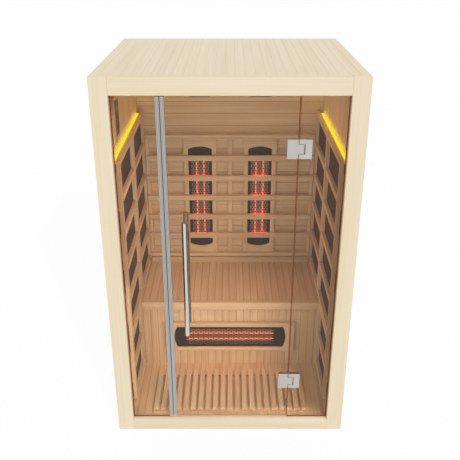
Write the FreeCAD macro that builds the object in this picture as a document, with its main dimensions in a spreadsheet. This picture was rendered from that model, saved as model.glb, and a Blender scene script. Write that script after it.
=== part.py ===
import FreeCAD, Part
import math
import os
import re

import Sketcher

# A two-seat infrared cabin of pale boards with a bronze glass front.
# Millimetres. X runs to the right as seen from the door, Y runs to the back and Z up.
# The origin is the centre of the cabin's footprint, on the floor.

SIZES = {
    # Carcass
    "cabin_width": 1200,
    "cabin_depth": 1050,
    "cabin_height": 1900,
    "frame_depth": 40,
    "post_width": 80,
    "header_height": 80,
    "sill_height": 70,
    "wall_thickness": 45,
    "wall_skin": 12,
    "wall_stud": 40,
    "lining_thickness": 14,
    "roof_thickness": 20,
    "roof_cavity": 48,
    "ceiling_thickness": 12,
    "base_thickness": 45,
    "base_skin": 15,
    "base_rim": 60,
    "floor_thickness": 20,
    # Tongue-and-groove joints
    "outer_board": 44.45,
    "lining_board": 72,
    "floor_board": 42,
    "joint_width": 3,
    "joint_depth": 2.5,
    # Glass front
    "glass_thickness": 8,
    "glass_setback": 25,
    "pane_width": 214,
    "seam_gap": 4,
    "seal_thickness": 3,
    "seal_depth": 10,
    "door_foot_gap": 6,
    "door_head_gap": 8,
    "profile_width": 18,
    "profile_depth": 14,
    "profile_wall": 2,
    "profile_fit": 0.2,
    "magnet_depth": 8,
    "magnet_clearance": 0.3,
    # Glass hinges
    "hinge_height": 90,
    "hinge_head_drop": 234,
    "hinge_foot_rise": 234,
    "door_leaf_width": 49,
    "pane_leaf_width": 58,
    "leaf_thickness": 5,
    "knuckle_height": 44,
    "knuckle_reach": 25,
    "knuckle_clearance": 2,
    "pocket_slit": 7,
    "pin_offset": 14,
    "pin_radius": 4,
    "pin_running_fit": 0.05,
    "pin_seat_fit": 0.02,
    "notch_clearance": 1,
    "screw_radius": 2.5,
    "screw_grip": 3,
    "screw_head_radius": 5,
    "screw_head_height": 3,
    "screw_spacing": 50,
    "screw_inset": 18,
    "screw_clearance": 0.3,
    # Door handle
    "handle_radius": 12.5,
    "handle_length": 610,
    "handle_height": 940,
    "handle_inset": 92,
    "handle_standoff": 62,
    "stud_spacing": 400,
    "stud_radius": 5,
    "stud_clearance": 1,
    "spacer_radius": 8,
    "spacer_fit": 0.05,
    # Side grilles
    "grille_setback": 44,
    "grille_thickness": 18,
    "grille_wall_gap": 18,
    "grille_floor_gap": 69,
    "grille_back_gap": 15,
    "grille_bench_gap": 34,
    "grille_seam": 1,
    "grille_stile": 30,
    "grille_middle_stile": 50,
    "grille_bar": 31,
    "grille_seat_gap": 39,
    "lower_top_rail": 38,
    "lower_rear_stile": 40,
    "cleat_width": 20,
    "cleat_height": 185,
    "carbon_thickness": 8,
    "carbon_edge_gap": 2,
    "carbon_top_gap": 6,
    "light_inset": 2,
    "light_rear_gap": 50,
    "light_height": 18,
    # Bench
    "seat_height": 508,
    "seat_thickness": 25,
    "bench_depth": 507,
    "nosing_thickness": 20,
    "nosing_height": 53,
    "bench_front_thickness": 15,
    "bearer_height": 40,
    "bearer_width": 30,
    # Backrest
    "backrest_foot_gap": 20,
    "backrest_bar_height": 33,
    "backrest_bar_thickness": 18,
    "backrest_bar_pitch": 127,
    "backrest_rail_reach": 387,
    "backrest_rail_height": 24,
    "backrest_side_gap": 2,
    "middle_stile_width": 28,
    "end_stile_width": 20,
    "skirting_height": 41,
    "skirting_thickness": 14,
    # Heater units
    "heater_length": 760,
    "heater_width": 200,
    "heater_depth": 25,
    "window_length": 658,
    "window_width": 142,
    "window_arch": 17,
    "face_thickness": 1.5,
    "face_gap": 1.5,
    "face_fit": 0.3,
    "mesh_length": 530,
    "mesh_width": 112,
    "slot_pitch": 30,
    "slot_bridge": 7,
    "slot_row": 9,
    "slot_wire": 2.5,
    "rod_radius": 5,
    "rod_spacing": 42,
    "rod_gap": 0.5,
    "reflector_side_gap": 7,
    "reflector_end_gap": 2,
    "reflector_thickness": 1.5,
    "bracket_thickness": 10,
    "heater_spacing": 360,
    "heater_foot_gap": 33,
    "bench_heater_drop": 87,
    # Floor mat
    "mat_width": 836,
    "mat_front_gap": 25,
    "mat_rear_gap": 90,
    "slat_width": 27,
    "slat_thickness": 12,
    "mat_bearer_width": 40,
    "mat_bearer_thickness": 10,
    # Controls and supply
    "plate_width": 161,
    "plate_height": 212,
    "plate_thickness": 12,
    "plate_corner": 18,
    "plate_setback": 128,
    "plate_head_drop": 53,
    "plate_grille_gap": 51,
    "fascia_width": 89,
    "fascia_height": 166,
    "fascia_fit": 0.3,
    "fascia_proud": 0.5,
    "display_width": 77,
    "display_height": 37,
    "display_thickness": 1.5,
    "display_head_drop": 20,
    "display_fit": 0.2,
    "key_width": 26,
    "key_height": 14,
    "key_depth": 3,
    "key_proud": 1.5,
    "key_travel": 1.2,
    "key_fit": 0.4,
    "key_spacing_across": 38,
    "key_spacing_down": 34,
    "key_foot_rise": 28,
    "supply_width": 300,
    "supply_length": 200,
    "supply_head_gap": 6,
    "supply_wall": 1.5,
    "supply_inset": 116,
    "gland_radius": 11,
    "gland_length": 14,
    "gland_bore": 4.5,
    "gland_drop": 50,
    "gland_inset": 120,
}

UPPER_BARS = 4
UPPER_CLEATS = 3
LOWER_CLEATS = 1
BACKREST_BARS = 5
SLATS = 21
BEARERS = 4
KEY_NAMES = (("key_power", "key_light"), ("key_down", "key_up"))

doc = FreeCAD.newDocument("InfraredCabin")
sheet = doc.addObject("Spreadsheet::Sheet", "Sizes")
for row, (alias, number) in enumerate(SIZES.items(), 1):
    sheet.set(f"A{row}", alias)
    sheet.set(f"B{row}", str(number))
    sheet.setAlias(f"B{row}", alias)
doc.recompute()

nodes = []
WORD = re.compile(r"[a-z_]+")


def linked(expression):
    """An expression in which each size's name points at its cell in the sheet."""
    return WORD.sub(
        lambda word: f"Sizes.{word.group()}" if word.group() in SIZES else word.group(),
        str(expression),
    )


def size(alias):
    """The number in one cell of the sheet."""
    return float(sheet.get(alias))


def place(item, x, y, z):
    for axis, expression in (("x", x), ("y", y), ("z", z)):
        item.setExpression(f"Placement.Base.{axis}", linked(expression))


def box(name, x, y, z):
    """A block between two bounds on each axis."""
    solid = doc.addObject("Part::Box", name)
    for side, (low, high) in (("Length", x), ("Width", y), ("Height", z)):
        solid.setExpression(side, linked(f"({high}) - ({low})"))
    place(solid, x[0], y[0], z[0])
    return solid


TURNS = {
    "x": FreeCAD.Rotation(FreeCAD.Vector(0, 1, 0), 90),
    "y": FreeCAD.Rotation(FreeCAD.Vector(1, 0, 0), -90),
    "z": FreeCAD.Rotation(),
}


def round_bar(name, radius, axis, start, length):
    """A cylinder from a point along one axis."""
    solid = doc.addObject("Part::Cylinder", name)
    solid.Placement = FreeCAD.Placement(FreeCAD.Vector(), TURNS[axis])
    solid.setExpression("Radius", linked(radius))
    solid.setExpression("Height", linked(length))
    place(solid, *start)
    return solid


def fuse(name, solids):
    joined = doc.addObject("Part::MultiFuse", name)
    joined.Shapes = solids
    joined.Refine = True
    return joined


def cut(name, base, tools):
    """The base with every tool taken out of it."""
    trimmed = doc.addObject("Part::Cut", name)
    trimmed.Base = base
    trimmed.Tool = tools[0] if len(tools) == 1 else fuse(f"{name}_tools", tools)
    return trimmed


def group(name, solids):
    """Like pieces that share one node, each still a solid of its own."""
    together = doc.addObject("Part::Compound", name)
    together.Links = solids
    return together


def mirrored(name, source):
    """The same piece on the other side of the cabin."""
    twin = doc.addObject("Part::Mirroring", name)
    twin.Source = source
    twin.Base = FreeCAD.Vector()
    twin.Normal = FreeCAD.Vector(1, 0, 0)
    return twin


def node(item):
    """Name an object as a finished sub-part."""
    item.Label = item.Name
    nodes.append(item)
    return item


def polygon(sketch, corners):
    """A closed outline whose corners are bound to the sheet."""
    count = len(corners)
    guess = [
        FreeCAD.Vector(math.cos(math.tau * step / count), math.sin(math.tau * step / count), 0)
        for step in range(count)
    ]
    for step in range(count):
        sketch.addGeometry(Part.LineSegment(guess[step], guess[(step + 1) % count]))
    for step in range(count):
        sketch.addConstraint(Sketcher.Constraint("Coincident", step, 2, (step + 1) % count, 1))
    for step, corner in enumerate(corners):
        for kind, axis, expression in zip(("DistanceX", "DistanceY"), (-2, -1), corner):
            if expression == "0":
                sketch.addConstraint(Sketcher.Constraint("PointOnObject", step, 1, axis))
                continue
            rule = sketch.addConstraint(Sketcher.Constraint(kind, -1, 1, step, 1, 1.0))
            sketch.setExpression(f"Constraints[{rule}]", linked(expression))


def sketch_on(body, role, corners):
    """A sketch on one of the body's own origin planes."""
    sketch = body.newObject("Sketcher::SketchObject", f"{body.Name}_{role}")
    plane = next(part for part in body.Origin.OriginFeatures if part.Role == role)
    sketch.AttachmentSupport = (plane, [""])
    sketch.MapMode = "FlatFace"
    polygon(sketch, corners)
    return sketch


def padded(name, corners, thickness):
    """A body padded up from an outline on its XY plane."""
    body = doc.addObject("PartDesign::Body", name)
    pad = body.newObject("PartDesign::Pad", f"{name}_pad")
    pad.Profile = sketch_on(body, "XY_Plane", corners)
    pad.setExpression("Length", linked(thickness))
    return body, pad


def rectangle(length, width):
    return (("0", "0"), (length, "0"), (length, width), ("0", width))


def inset_rectangle(length, width, inset):
    far = (f"{length} - {inset}", f"{width} - {inset}")
    return ((inset, inset), (far[0], inset), far, (inset, far[1]))


def boards(name, length, width, thickness, pitch, turn, corner, hollow=False):
    """A panel of boards that run along its own X, with a V joint between each two on its upper face.

    A hollow panel is a skin of boards on edge studs, open on the side that its lining covers.
    """
    body, _ = padded(name, rectangle(length, width), thickness)
    joint = body.newObject("PartDesign::Pocket", f"{name}_joint")
    joint.Profile = sketch_on(
        body,
        "YZ_Plane",
        (
            (f"{pitch} - joint_width / 2", thickness),
            (f"{pitch} + joint_width / 2", thickness),
            (pitch, f"{thickness} - joint_depth"),
        ),
    )
    joint.Reversed = True
    joint.setExpression("Length", linked(length))
    row = body.newObject("PartDesign::LinearPattern", f"{name}_row")
    row.Originals = [joint]
    across = next(part for part in body.Origin.OriginFeatures if part.Role == "Y_Axis")
    row.Direction = (across, [""])
    joints = f"(ceil(({width}) / {pitch}) - 1)"
    row.setExpression("Occurrences", linked(joints))
    row.setExpression("Length", linked(f"({joints} - 1) * {pitch}"))
    body.Tip = row
    if hollow:
        room = body.newObject("PartDesign::Pocket", f"{name}_room")
        room.Profile = sketch_on(body, "XY_Plane", inset_rectangle(length, width, "wall_stud"))
        room.Reversed = True
        room.setExpression("Length", linked(f"{thickness} - wall_skin"))
        body.Tip = room
    body.Placement = FreeCAD.Placement(FreeCAD.Vector(), turn)
    place(body, *corner)
    return node(body)


def facing(along, across):
    """The turn that lays a panel's X and Y along two directions of the cabin."""
    first, second = FreeCAD.Vector(*along), FreeCAD.Vector(*across)
    return FreeCAD.Rotation(first, second, first.cross(second), "XYZ")


# Planes that the pieces share
HALF_WIDTH = "cabin_width / 2"
FRONT = "(-cabin_depth / 2)"
REAR = "(cabin_depth / 2)"
FRAME_REAR = f"({FRONT} + frame_depth)"
OPENING = f"({HALF_WIDTH} - post_width)"
HEAD = "(cabin_height - header_height)"
WALL_FACE = f"({HALF_WIDTH} - wall_thickness)"
SIDE_FACE = f"({WALL_FACE} - lining_thickness)"
REAR_WALL_FACE = f"({REAR} - wall_thickness)"
REAR_FACE = f"({REAR_WALL_FACE} - lining_thickness)"
ROOF_UNDER = "(cabin_height - roof_thickness)"
CEILING_TOP = f"({ROOF_UNDER} - roof_cavity)"
CEILING = f"({CEILING_TOP} - ceiling_thickness)"
FLOOR = "(base_thickness + floor_thickness)"
INSIDE_DEPTH = f"({REAR_FACE} - {FRAME_REAR})"

# Front frame: two posts, a header and a sill
left_post = node(
    box("left_post", (f"-{HALF_WIDTH}", f"-{OPENING}"), (FRONT, FRAME_REAR), ("0", "cabin_height"))
)
node(mirrored("right_post", left_post))
node(box("header", (f"-{OPENING}", OPENING), (FRONT, FRAME_REAR), (HEAD, "cabin_height")))
node(box("sill", (f"-{OPENING}", OPENING), (FRONT, FRAME_REAR), ("0", "sill_height")))

# Base, floor, walls, linings, ceiling and roof
base_block = box(
    "base_block", (f"-{WALL_FACE}", WALL_FACE), (FRAME_REAR, REAR_WALL_FACE), ("0", "base_thickness")
)
base_room = box(
    "base_room",
    (f"-{WALL_FACE} + base_rim", f"{WALL_FACE} - base_rim"),
    (f"{FRAME_REAR} + base_rim", f"{REAR_WALL_FACE} - base_rim"),
    ("base_skin", "base_thickness"),
)
node(cut("floor_base", base_block, [base_room]))
boards(
    "floor_boards",
    INSIDE_DEPTH,
    f"(2 * {SIDE_FACE})",
    "floor_thickness",
    "floor_board",
    facing((0, 1, 0), (-1, 0, 0)),
    (SIDE_FACE, FRAME_REAR, "base_thickness"),
)
left_wall = boards(
    "left_wall",
    ROOF_UNDER,
    f"({REAR} - {FRAME_REAR})",
    "wall_thickness",
    "outer_board",
    facing((0, 0, 1), (0, 1, 0)),
    (f"-{WALL_FACE}", FRAME_REAR, "0"),
    hollow=True,
)
node(mirrored("right_wall", left_wall))
boards(
    "back_wall",
    ROOF_UNDER,
    f"(2 * {WALL_FACE})",
    "wall_thickness",
    "outer_board",
    facing((0, 0, 1), (1, 0, 0)),
    (f"-{WALL_FACE}", REAR_WALL_FACE, "0"),
    hollow=True,
)
left_lining = node(
    box(
        "left_lining",
        (f"-{WALL_FACE}", f"-{SIDE_FACE}"),
        (FRAME_REAR, REAR_WALL_FACE),
        ("base_thickness", ROOF_UNDER),
    )
)
node(mirrored("right_lining", left_lining))
boards(
    "back_lining",
    f"(2 * {SIDE_FACE})",
    f"({ROOF_UNDER} - base_thickness)",
    "lining_thickness",
    "lining_board",
    facing((1, 0, 0), (0, 0, 1)),
    (f"-{SIDE_FACE}", REAR_WALL_FACE, "base_thickness"),
)
node(box("ceiling", (f"-{SIDE_FACE}", SIDE_FACE), (FRAME_REAR, REAR_FACE), (CEILING, CEILING_TOP)))
boards(
    "roof",
    f"({REAR} - {FRAME_REAR})",
    "cabin_width",
    "roof_thickness",
    "outer_board",
    facing((0, 1, 0), (-1, 0, 0)),
    (HALF_WIDTH, FRAME_REAR, ROOF_UNDER),
)

# Glass front: fixed panes with the door between them
GLASS = f"({FRONT} + glass_setback)"
GLASS_FRONT = f"({GLASS} - glass_thickness / 2)"
GLASS_REAR = f"({GLASS} + glass_thickness / 2)"
PANE_EDGE = f"({OPENING} - pane_width)"
DOOR_EDGE = f"({PANE_EDGE} - seam_gap)"
PANE_FOOT = "(sill_height + seal_thickness)"
PANE_HEAD = f"({HEAD} - seal_thickness)"
DOOR_FOOT = "(sill_height + door_foot_gap)"
DOOR_HEAD = f"({HEAD} - door_head_gap)"
GLASS_DEPTH = (GLASS_FRONT, GLASS_REAR)
PANE_OUTER = f"({OPENING} - seal_thickness)"
SEAL_DEPTH = (f"{GLASS} - seal_depth / 2", f"{GLASS} + seal_depth / 2")


def pane_seal(name):
    """The strips between a fixed pane and the post, header and sill."""
    upright = box(f"{name}_upright", (PANE_OUTER, OPENING), SEAL_DEPTH, ("sill_height", HEAD))
    head = box(f"{name}_head", (PANE_EDGE, OPENING), SEAL_DEPTH, (PANE_HEAD, HEAD))
    foot = box(f"{name}_foot", (PANE_EDGE, OPENING), SEAL_DEPTH, ("sill_height", PANE_FOOT))
    return fuse(name, [upright, head, foot])


right_seal = pane_seal("right_pane_seal")
node(group("pane_seals", [right_seal, mirrored("left_pane_seal", right_seal)]))

# Hinges: each clamps the door and the right pane between a front leaf and a back plate,
# and the door leaf's knuckle turns on a pin in the pane leaf's pocket.
LEAF_FRONT = f"({GLASS_FRONT} - leaf_thickness)"
LEAF_REAR = f"({GLASS_REAR} + leaf_thickness)"
HINGE_HEIGHTS = {
    "upper": f"({DOOR_HEAD} - hinge_head_drop)",
    "lower": f"({DOOR_FOOT} + hinge_foot_rise)",
}
KNUCKLE_END = f"({DOOR_EDGE} + knuckle_reach)"
POCKET_END = f"({KNUCKLE_END} + pocket_slit)"
PIN = f"({PANE_EDGE} + pin_offset)"
SCREW_LENGTH = "(leaf_thickness + glass_thickness + screw_grip)"
DOOR_SCREW = f"({DOOR_EDGE} - door_leaf_width + screw_inset)"
PANE_SCREW = f"({PANE_EDGE} + pane_leaf_width - screw_inset)"


def about(centre, height):
    """Two bounds either side of a centre."""
    return (f"{centre} - {height} / 2", f"{centre} + {height} / 2")


def screw_pair(name, across, centre, radius):
    """Two shanks that come in from the back plate's face, one above the other."""
    return [
        round_bar(
            f"{name}_{step}",
            radius,
            "y",
            (across, f"{LEAF_REAR} - {SCREW_LENGTH}", f"{centre} + ({side}) * screw_spacing / 2"),
            SCREW_LENGTH,
        )
        for step, side in enumerate((-1, 1))
    ]


def screws(name, across):
    """The four screws of one side of both hinges, with their heads on the back plates."""
    solids = []
    for where, centre in HINGE_HEIGHTS.items():
        shanks = screw_pair(f"{name}_{where}_shank", across, centre, "screw_radius")
        for step, shank in enumerate(shanks):
            side = 2 * step - 1
            start = (across, LEAF_REAR, f"{centre} + ({side}) * screw_spacing / 2")
            head = round_bar(
                f"{name}_{where}_head_{step}", "screw_head_radius", "y", start, "screw_head_height"
            )
            solids.append(fuse(f"{name}_{where}_{step}", [shank, head]))
    return node(group(name, solids))


def screw_holes(name, across):
    """Clearance holes for every screw at one distance across the front."""
    return [
        hole
        for where, centre in HINGE_HEIGHTS.items()
        for hole in screw_pair(f"{name}_{where}_hole", across, centre, "(screw_radius + screw_clearance)")
    ]


def pocket(name, centre):
    """The room for the knuckle in the pane leaf and its back plate."""
    return box(
        name,
        (PANE_EDGE, POCKET_END),
        (LEAF_FRONT, LEAF_REAR),
        about(centre, "(knuckle_height + 2 * knuckle_clearance)"),
    )


def pin_bore(name, centre, fit):
    return round_bar(
        name,
        f"(pin_radius + {fit})",
        "z",
        (PIN, GLASS, f"{centre} - hinge_height / 2"),
        "hinge_height",
    )


def door_leaf(where, centre):
    """The front leaf on the door with the knuckle that turns on the pin."""
    name = f"door_leaf_{where}"
    plate = box(
        f"{name}_plate",
        (f"{DOOR_EDGE} - door_leaf_width", DOOR_EDGE),
        (LEAF_FRONT, GLASS_FRONT),
        about(centre, "hinge_height"),
    )
    knuckle = box(
        f"{name}_knuckle", (DOOR_EDGE, KNUCKLE_END), (LEAF_FRONT, LEAF_REAR), about(centre, "knuckle_height")
    )
    holes = screw_pair(f"{name}_hole", DOOR_SCREW, centre, "(screw_radius + screw_clearance)")
    bore = pin_bore(f"{name}_bore", centre, "pin_running_fit")
    return cut(name, fuse(f"{name}_whole", [plate, knuckle]), [bore, *holes])


def pane_leaf(where, centre):
    """The front leaf on the fixed pane, with arms through the glass that hold the pin."""
    name = f"pane_leaf_{where}"
    plate = box(
        f"{name}_plate",
        (PANE_EDGE, f"{PANE_EDGE} + pane_leaf_width"),
        (LEAF_FRONT, GLASS_FRONT),
        about(centre, "hinge_height"),
    )
    arms = box(f"{name}_arms", (PANE_EDGE, POCKET_END), GLASS_DEPTH, about(centre, "hinge_height"))
    holes = screw_pair(f"{name}_hole", PANE_SCREW, centre, "(screw_radius + screw_clearance)")
    bore = pin_bore(f"{name}_bore", centre, "pin_seat_fit")
    whole = fuse(f"{name}_whole", [plate, arms])
    return cut(name, whole, [pocket(f"{name}_pocket", centre), bore, *holes])


def back_plate(name, across, screw, centre, openings):
    """A plate behind the glass that a leaf is screwed to."""
    plate = box(f"{name}_plate", across, (GLASS_REAR, LEAF_REAR), about(centre, "hinge_height"))
    holes = screw_pair(f"{name}_hole", screw, centre, "(screw_radius + screw_clearance)")
    return cut(name, plate, [*openings, *holes])


node(group("hinge_door_leaves", [door_leaf(*item) for item in HINGE_HEIGHTS.items()]))
node(group("hinge_pane_leaves", [pane_leaf(*item) for item in HINGE_HEIGHTS.items()]))
door_plates, pane_plates, pins = [], [], []
for where, centre in HINGE_HEIGHTS.items():
    door_plates.append(
        back_plate(
            f"door_back_plate_{where}", (f"{DOOR_EDGE} - door_leaf_width", DOOR_EDGE), DOOR_SCREW, centre, []
        )
    )
    pane_plates.append(
        back_plate(
            f"pane_back_plate_{where}",
            (PANE_EDGE, f"{PANE_EDGE} + pane_leaf_width"),
            PANE_SCREW,
            centre,
            [pocket(f"pane_back_pocket_{where}", centre)],
        )
    )
    pins.append(
        round_bar(
            f"hinge_pin_{where}",
            "pin_radius",
            "z",
            (PIN, GLASS, f"{centre} - hinge_height / 2"),
            "hinge_height",
        )
    )
node(group("hinge_door_back_plates", door_plates))
node(group("hinge_pane_back_plates", pane_plates))
node(group("hinge_pins", pins))
screws("hinge_door_screws", DOOR_SCREW)
screws("hinge_pane_screws", PANE_SCREW)

# Panes and door
notches = [
    box(
        f"notch_{where}",
        (PANE_EDGE, f"{POCKET_END} + notch_clearance"),
        GLASS_DEPTH,
        about(centre, "(hinge_height + 2 * notch_clearance)"),
    )
    for where, centre in HINGE_HEIGHTS.items()
]
right_sheet = box("right_pane_sheet", (PANE_EDGE, PANE_OUTER), GLASS_DEPTH, (PANE_FOOT, PANE_HEAD))
node(cut("right_pane", right_sheet, [*notches, *screw_holes("right_pane", PANE_SCREW)]))
node(
    box(
        "left_pane",
        (f"-{PANE_OUTER}", f"-{PANE_EDGE} - profile_wall"),
        GLASS_DEPTH,
        (PANE_FOOT, PANE_HEAD),
    )
)

HANDLE = f"(-{DOOR_EDGE} + handle_inset)"
STUD_HEIGHTS = [f"(handle_height + ({side}) * stud_spacing / 2)" for side in (-1, 1)]
OUTER_BAR = f"({GLASS} - handle_standoff)"
INNER_BAR = f"({GLASS} + handle_standoff)"
stud_holes = [
    round_bar(
        f"stud_hole_{step}",
        "(stud_radius + stud_clearance)",
        "y",
        (HANDLE, GLASS_FRONT, height),
        "glass_thickness",
    )
    for step, height in enumerate(STUD_HEIGHTS)
]
door_sheet = box(
    "door_sheet", (f"-{DOOR_EDGE} + profile_wall", DOOR_EDGE), GLASS_DEPTH, (DOOR_FOOT, DOOR_HEAD)
)
node(cut("door_glass", door_sheet, [*stud_holes, *screw_holes("door_glass", DOOR_SCREW)]))


def edge_profile(name, across, slot):
    """A channel that closes the free edge of a sheet of glass."""
    depth = about(GLASS, "profile_depth")
    room = about(GLASS, "(glass_thickness + 2 * profile_fit)")
    height = (DOOR_FOOT, DOOR_HEAD)
    bar = box(f"{name}_bar", across, depth, height)
    return node(cut(name, bar, [box(f"{name}_slot", slot, room, height)]))


edge_profile(
    "pane_profile",
    (f"-{PANE_EDGE} - profile_width", f"-{PANE_EDGE}"),
    (f"-{PANE_EDGE} - profile_width", f"-{PANE_EDGE} - profile_wall"),
)
edge_profile(
    "door_profile",
    (f"-{DOOR_EDGE}", f"-{DOOR_EDGE} + profile_width"),
    (f"-{DOOR_EDGE} + profile_wall", f"-{DOOR_EDGE} + profile_width"),
)
node(
    box(
        "door_magnet_strip",
        (f"-{PANE_EDGE} + magnet_clearance", f"-{DOOR_EDGE}"),
        about(GLASS, "magnet_depth"),
        (DOOR_FOOT, DOOR_HEAD),
    )
)

# Handle: an upright bar on each face of the door, on two studs through the glass
spacers = []
for step, height in enumerate(STUD_HEIGHTS):
    outer = round_bar(
        f"outer_spacer_{step}",
        "spacer_radius",
        "y",
        (HANDLE, OUTER_BAR, height),
        f"{GLASS_FRONT} - {OUTER_BAR}",
    )
    stud = round_bar(
        f"stud_{step}", "stud_radius", "y", (HANDLE, OUTER_BAR, height), f"{INNER_BAR} - {OUTER_BAR}"
    )
    inner = round_bar(
        f"inner_spacer_{step}",
        "spacer_radius",
        "y",
        (HANDLE, GLASS_REAR, height),
        f"{INNER_BAR} - {GLASS_REAR}",
    )
    spacers.append(fuse(f"spacer_{step}", [outer, stud, inner]))
node(group("handle_standoffs", spacers))
for name, across in (("outer_handle", OUTER_BAR), ("inner_handle", INNER_BAR)):
    low = "handle_height - handle_length / 2"
    bar = round_bar(f"{name}_bar", "handle_radius", "z", (HANDLE, across, low), "handle_length")
    sockets = [
        round_bar(
            f"{name}_socket_{step}",
            "(spacer_radius + spacer_fit)",
            "y",
            (HANDLE, f"{across} - handle_radius" if name == "inner_handle" else across, height),
            "handle_radius",
        )
        for step, height in enumerate(STUD_HEIGHTS)
    ]
    node(cut(name, bar, sockets))

# Side grilles, their carbon heaters, cleats and corner lights
GRILLE_FACE = f"({SIDE_FACE} - grille_wall_gap - grille_thickness)"
GRILLE_BACK = f"({SIDE_FACE} - grille_wall_gap)"
GRILLE_FRONT = f"({FRAME_REAR} + grille_setback)"
GRILLE_END = f"({REAR_FACE} - grille_back_gap)"
BENCH_FRONT = f"({REAR_FACE} - bench_depth)"
LOWER_END = f"({BENCH_FRONT} - grille_bench_gap)"
LOWER_FOOT = f"({FLOOR} + grille_floor_gap)"
UPPER_FOOT = "(seat_height + grille_seat_gap)"
LOWER_HEAD = f"({UPPER_FOOT} - grille_seam)"
PLATE_HEAD = f"({CEILING} - plate_head_drop)"
UPPER_HEAD = f"({PLATE_HEAD} - plate_height - plate_grille_gap)"
UPPER_HEIGHT = f"({UPPER_HEAD} - {UPPER_FOOT})"
LOWER_HEIGHT = f"({LOWER_HEAD} - {LOWER_FOOT})"
UPPER_MIDDLE = f"(({GRILLE_FRONT} + {GRILLE_END}) / 2)"
UPPER_CELL = f"(({UPPER_HEIGHT} - {UPPER_BARS + 2} * grille_bar) / {UPPER_BARS + 1})"
LOWER_CELL = f"(({LOWER_HEIGHT} - lower_top_rail - 2 * grille_bar) / 2)"
GRILLE_ACROSS = (f"-{GRILLE_BACK}", f"-{GRILLE_FACE}")


def grille(name, end, stiles, rails):
    """A flat lattice from its uprights (front, rear) and its rails (foot, head)."""
    foot, head = rails[0][0], rails[-1][1]
    uprights = [
        box(f"{name}_stile_{step}", GRILLE_ACROSS, bounds, (foot, head)) for step, bounds in enumerate(stiles)
    ]
    bars = [
        box(f"{name}_rail_{step}", GRILLE_ACROSS, (GRILLE_FRONT, end), bounds)
        for step, bounds in enumerate(rails)
    ]
    return node(fuse(name, uprights + bars))


def end_stiles(end, rear_width):
    """The front and the rear upright of a grille."""
    return [
        (GRILLE_FRONT, f"{GRILLE_FRONT} + grille_stile"),
        (f"{end} - {rear_width}", end),
    ]


upper_rails = []
for step in range(UPPER_BARS + 2):
    low = f"({UPPER_FOOT} + {step} * ({UPPER_CELL} + grille_bar))"
    upper_rails.append((low, f"({low} + grille_bar)"))
upper_stiles = end_stiles(GRILLE_END, "grille_stile")
upper_stiles.append(about(UPPER_MIDDLE, "grille_middle_stile"))
lower_bar = f"({LOWER_FOOT} + grille_bar + {LOWER_CELL})"
lower_rails = [
    (LOWER_FOOT, f"{LOWER_FOOT} + grille_bar"),
    (lower_bar, f"{lower_bar} + grille_bar"),
    (f"{LOWER_HEAD} - lower_top_rail", LOWER_HEAD),
]
upper_grille = grille("left_upper_grille", GRILLE_END, upper_stiles, upper_rails)
lower_stiles = end_stiles(LOWER_END, "lower_rear_stile")
lower_grille = grille("left_lower_grille", LOWER_END, lower_stiles, lower_rails)
node(mirrored("right_upper_grille", upper_grille))
node(mirrored("right_lower_grille", lower_grille))

GAP_ACROSS = (f"-{SIDE_FACE}", f"-{GRILLE_BACK}")
GRILLE_RUNS = (
    (UPPER_FOOT, UPPER_HEIGHT, UPPER_CLEATS, GRILLE_END),
    (LOWER_FOOT, LOWER_HEIGHT, LOWER_CLEATS, LOWER_END),
)
cleats = []
for run, (foot, height, count, end) in enumerate(GRILLE_RUNS):
    for step in range(count):
        centre = f"({foot} + {height} * {2 * step + 1} / {2 * count})"
        ends = ((GRILLE_FRONT, f"{GRILLE_FRONT} + cleat_width"), (f"{end} - cleat_width", end))
        for side, depth in enumerate(ends):
            name = f"cleat_{run}_{step}_{side}"
            cleat = box(name, GAP_ACROSS, depth, about(centre, "cleat_height"))
            cleats += [cleat, mirrored(f"{name}_right", cleat)]
node(group("grille_cleats", cleats))

LIGHT_FOOT = f"({UPPER_HEAD} - light_height)"
LIGHT_FRONT = f"({GRILLE_FRONT} + light_inset)"
LIGHT_END = f"({GRILLE_END} - light_rear_gap)"
carbon_heads = (f"{LIGHT_FOOT} - carbon_top_gap", f"{LOWER_HEAD} - carbon_edge_gap")
carbon = []
for run, (foot, _, _, end) in enumerate(GRILLE_RUNS):
    panel = box(
        f"carbon_{run}",
        (f"-{GRILLE_BACK} - carbon_thickness", f"-{GRILLE_BACK}"),
        (
            f"{GRILLE_FRONT} + cleat_width + carbon_edge_gap",
            f"{end} - cleat_width - carbon_edge_gap",
        ),
        (f"{foot} + carbon_edge_gap", carbon_heads[run]),
    )
    carbon += [panel, mirrored(f"carbon_{run}_right", panel)]
node(group("side_heater_panels", carbon))

light = box("left_light_bar", GAP_ACROSS, (LIGHT_FRONT, LIGHT_END), (LIGHT_FOOT, UPPER_HEAD))
node(group("corner_lights", [light, mirrored("right_light_bar", light)]))

# Bench
SEAT_UNDER = "(seat_height - seat_thickness)"
NOSING_REAR = f"({BENCH_FRONT} + nosing_thickness)"
BENCH_INNER = f"({NOSING_REAR} + bench_front_thickness)"
NOSING_FOOT = "(seat_height - nosing_height)"
boards(
    "bench_seat",
    f"({REAR_FACE} - {NOSING_REAR})",
    f"(2 * {SIDE_FACE})",
    "seat_thickness",
    "floor_board",
    facing((0, 1, 0), (-1, 0, 0)),
    (SIDE_FACE, NOSING_REAR, SEAT_UNDER),
)
node(
    box(
        "bench_nosing",
        (f"-{SIDE_FACE}", SIDE_FACE),
        (BENCH_FRONT, NOSING_REAR),
        (NOSING_FOOT, "seat_height"),
    )
)
boards(
    "bench_front",
    f"({SEAT_UNDER} - {FLOOR})",
    f"(2 * {SIDE_FACE})",
    "bench_front_thickness",
    "floor_board",
    facing((0, 0, 1), (-1, 0, 0)),
    (SIDE_FACE, BENCH_INNER, FLOOR),
)
bearers = []
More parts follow.
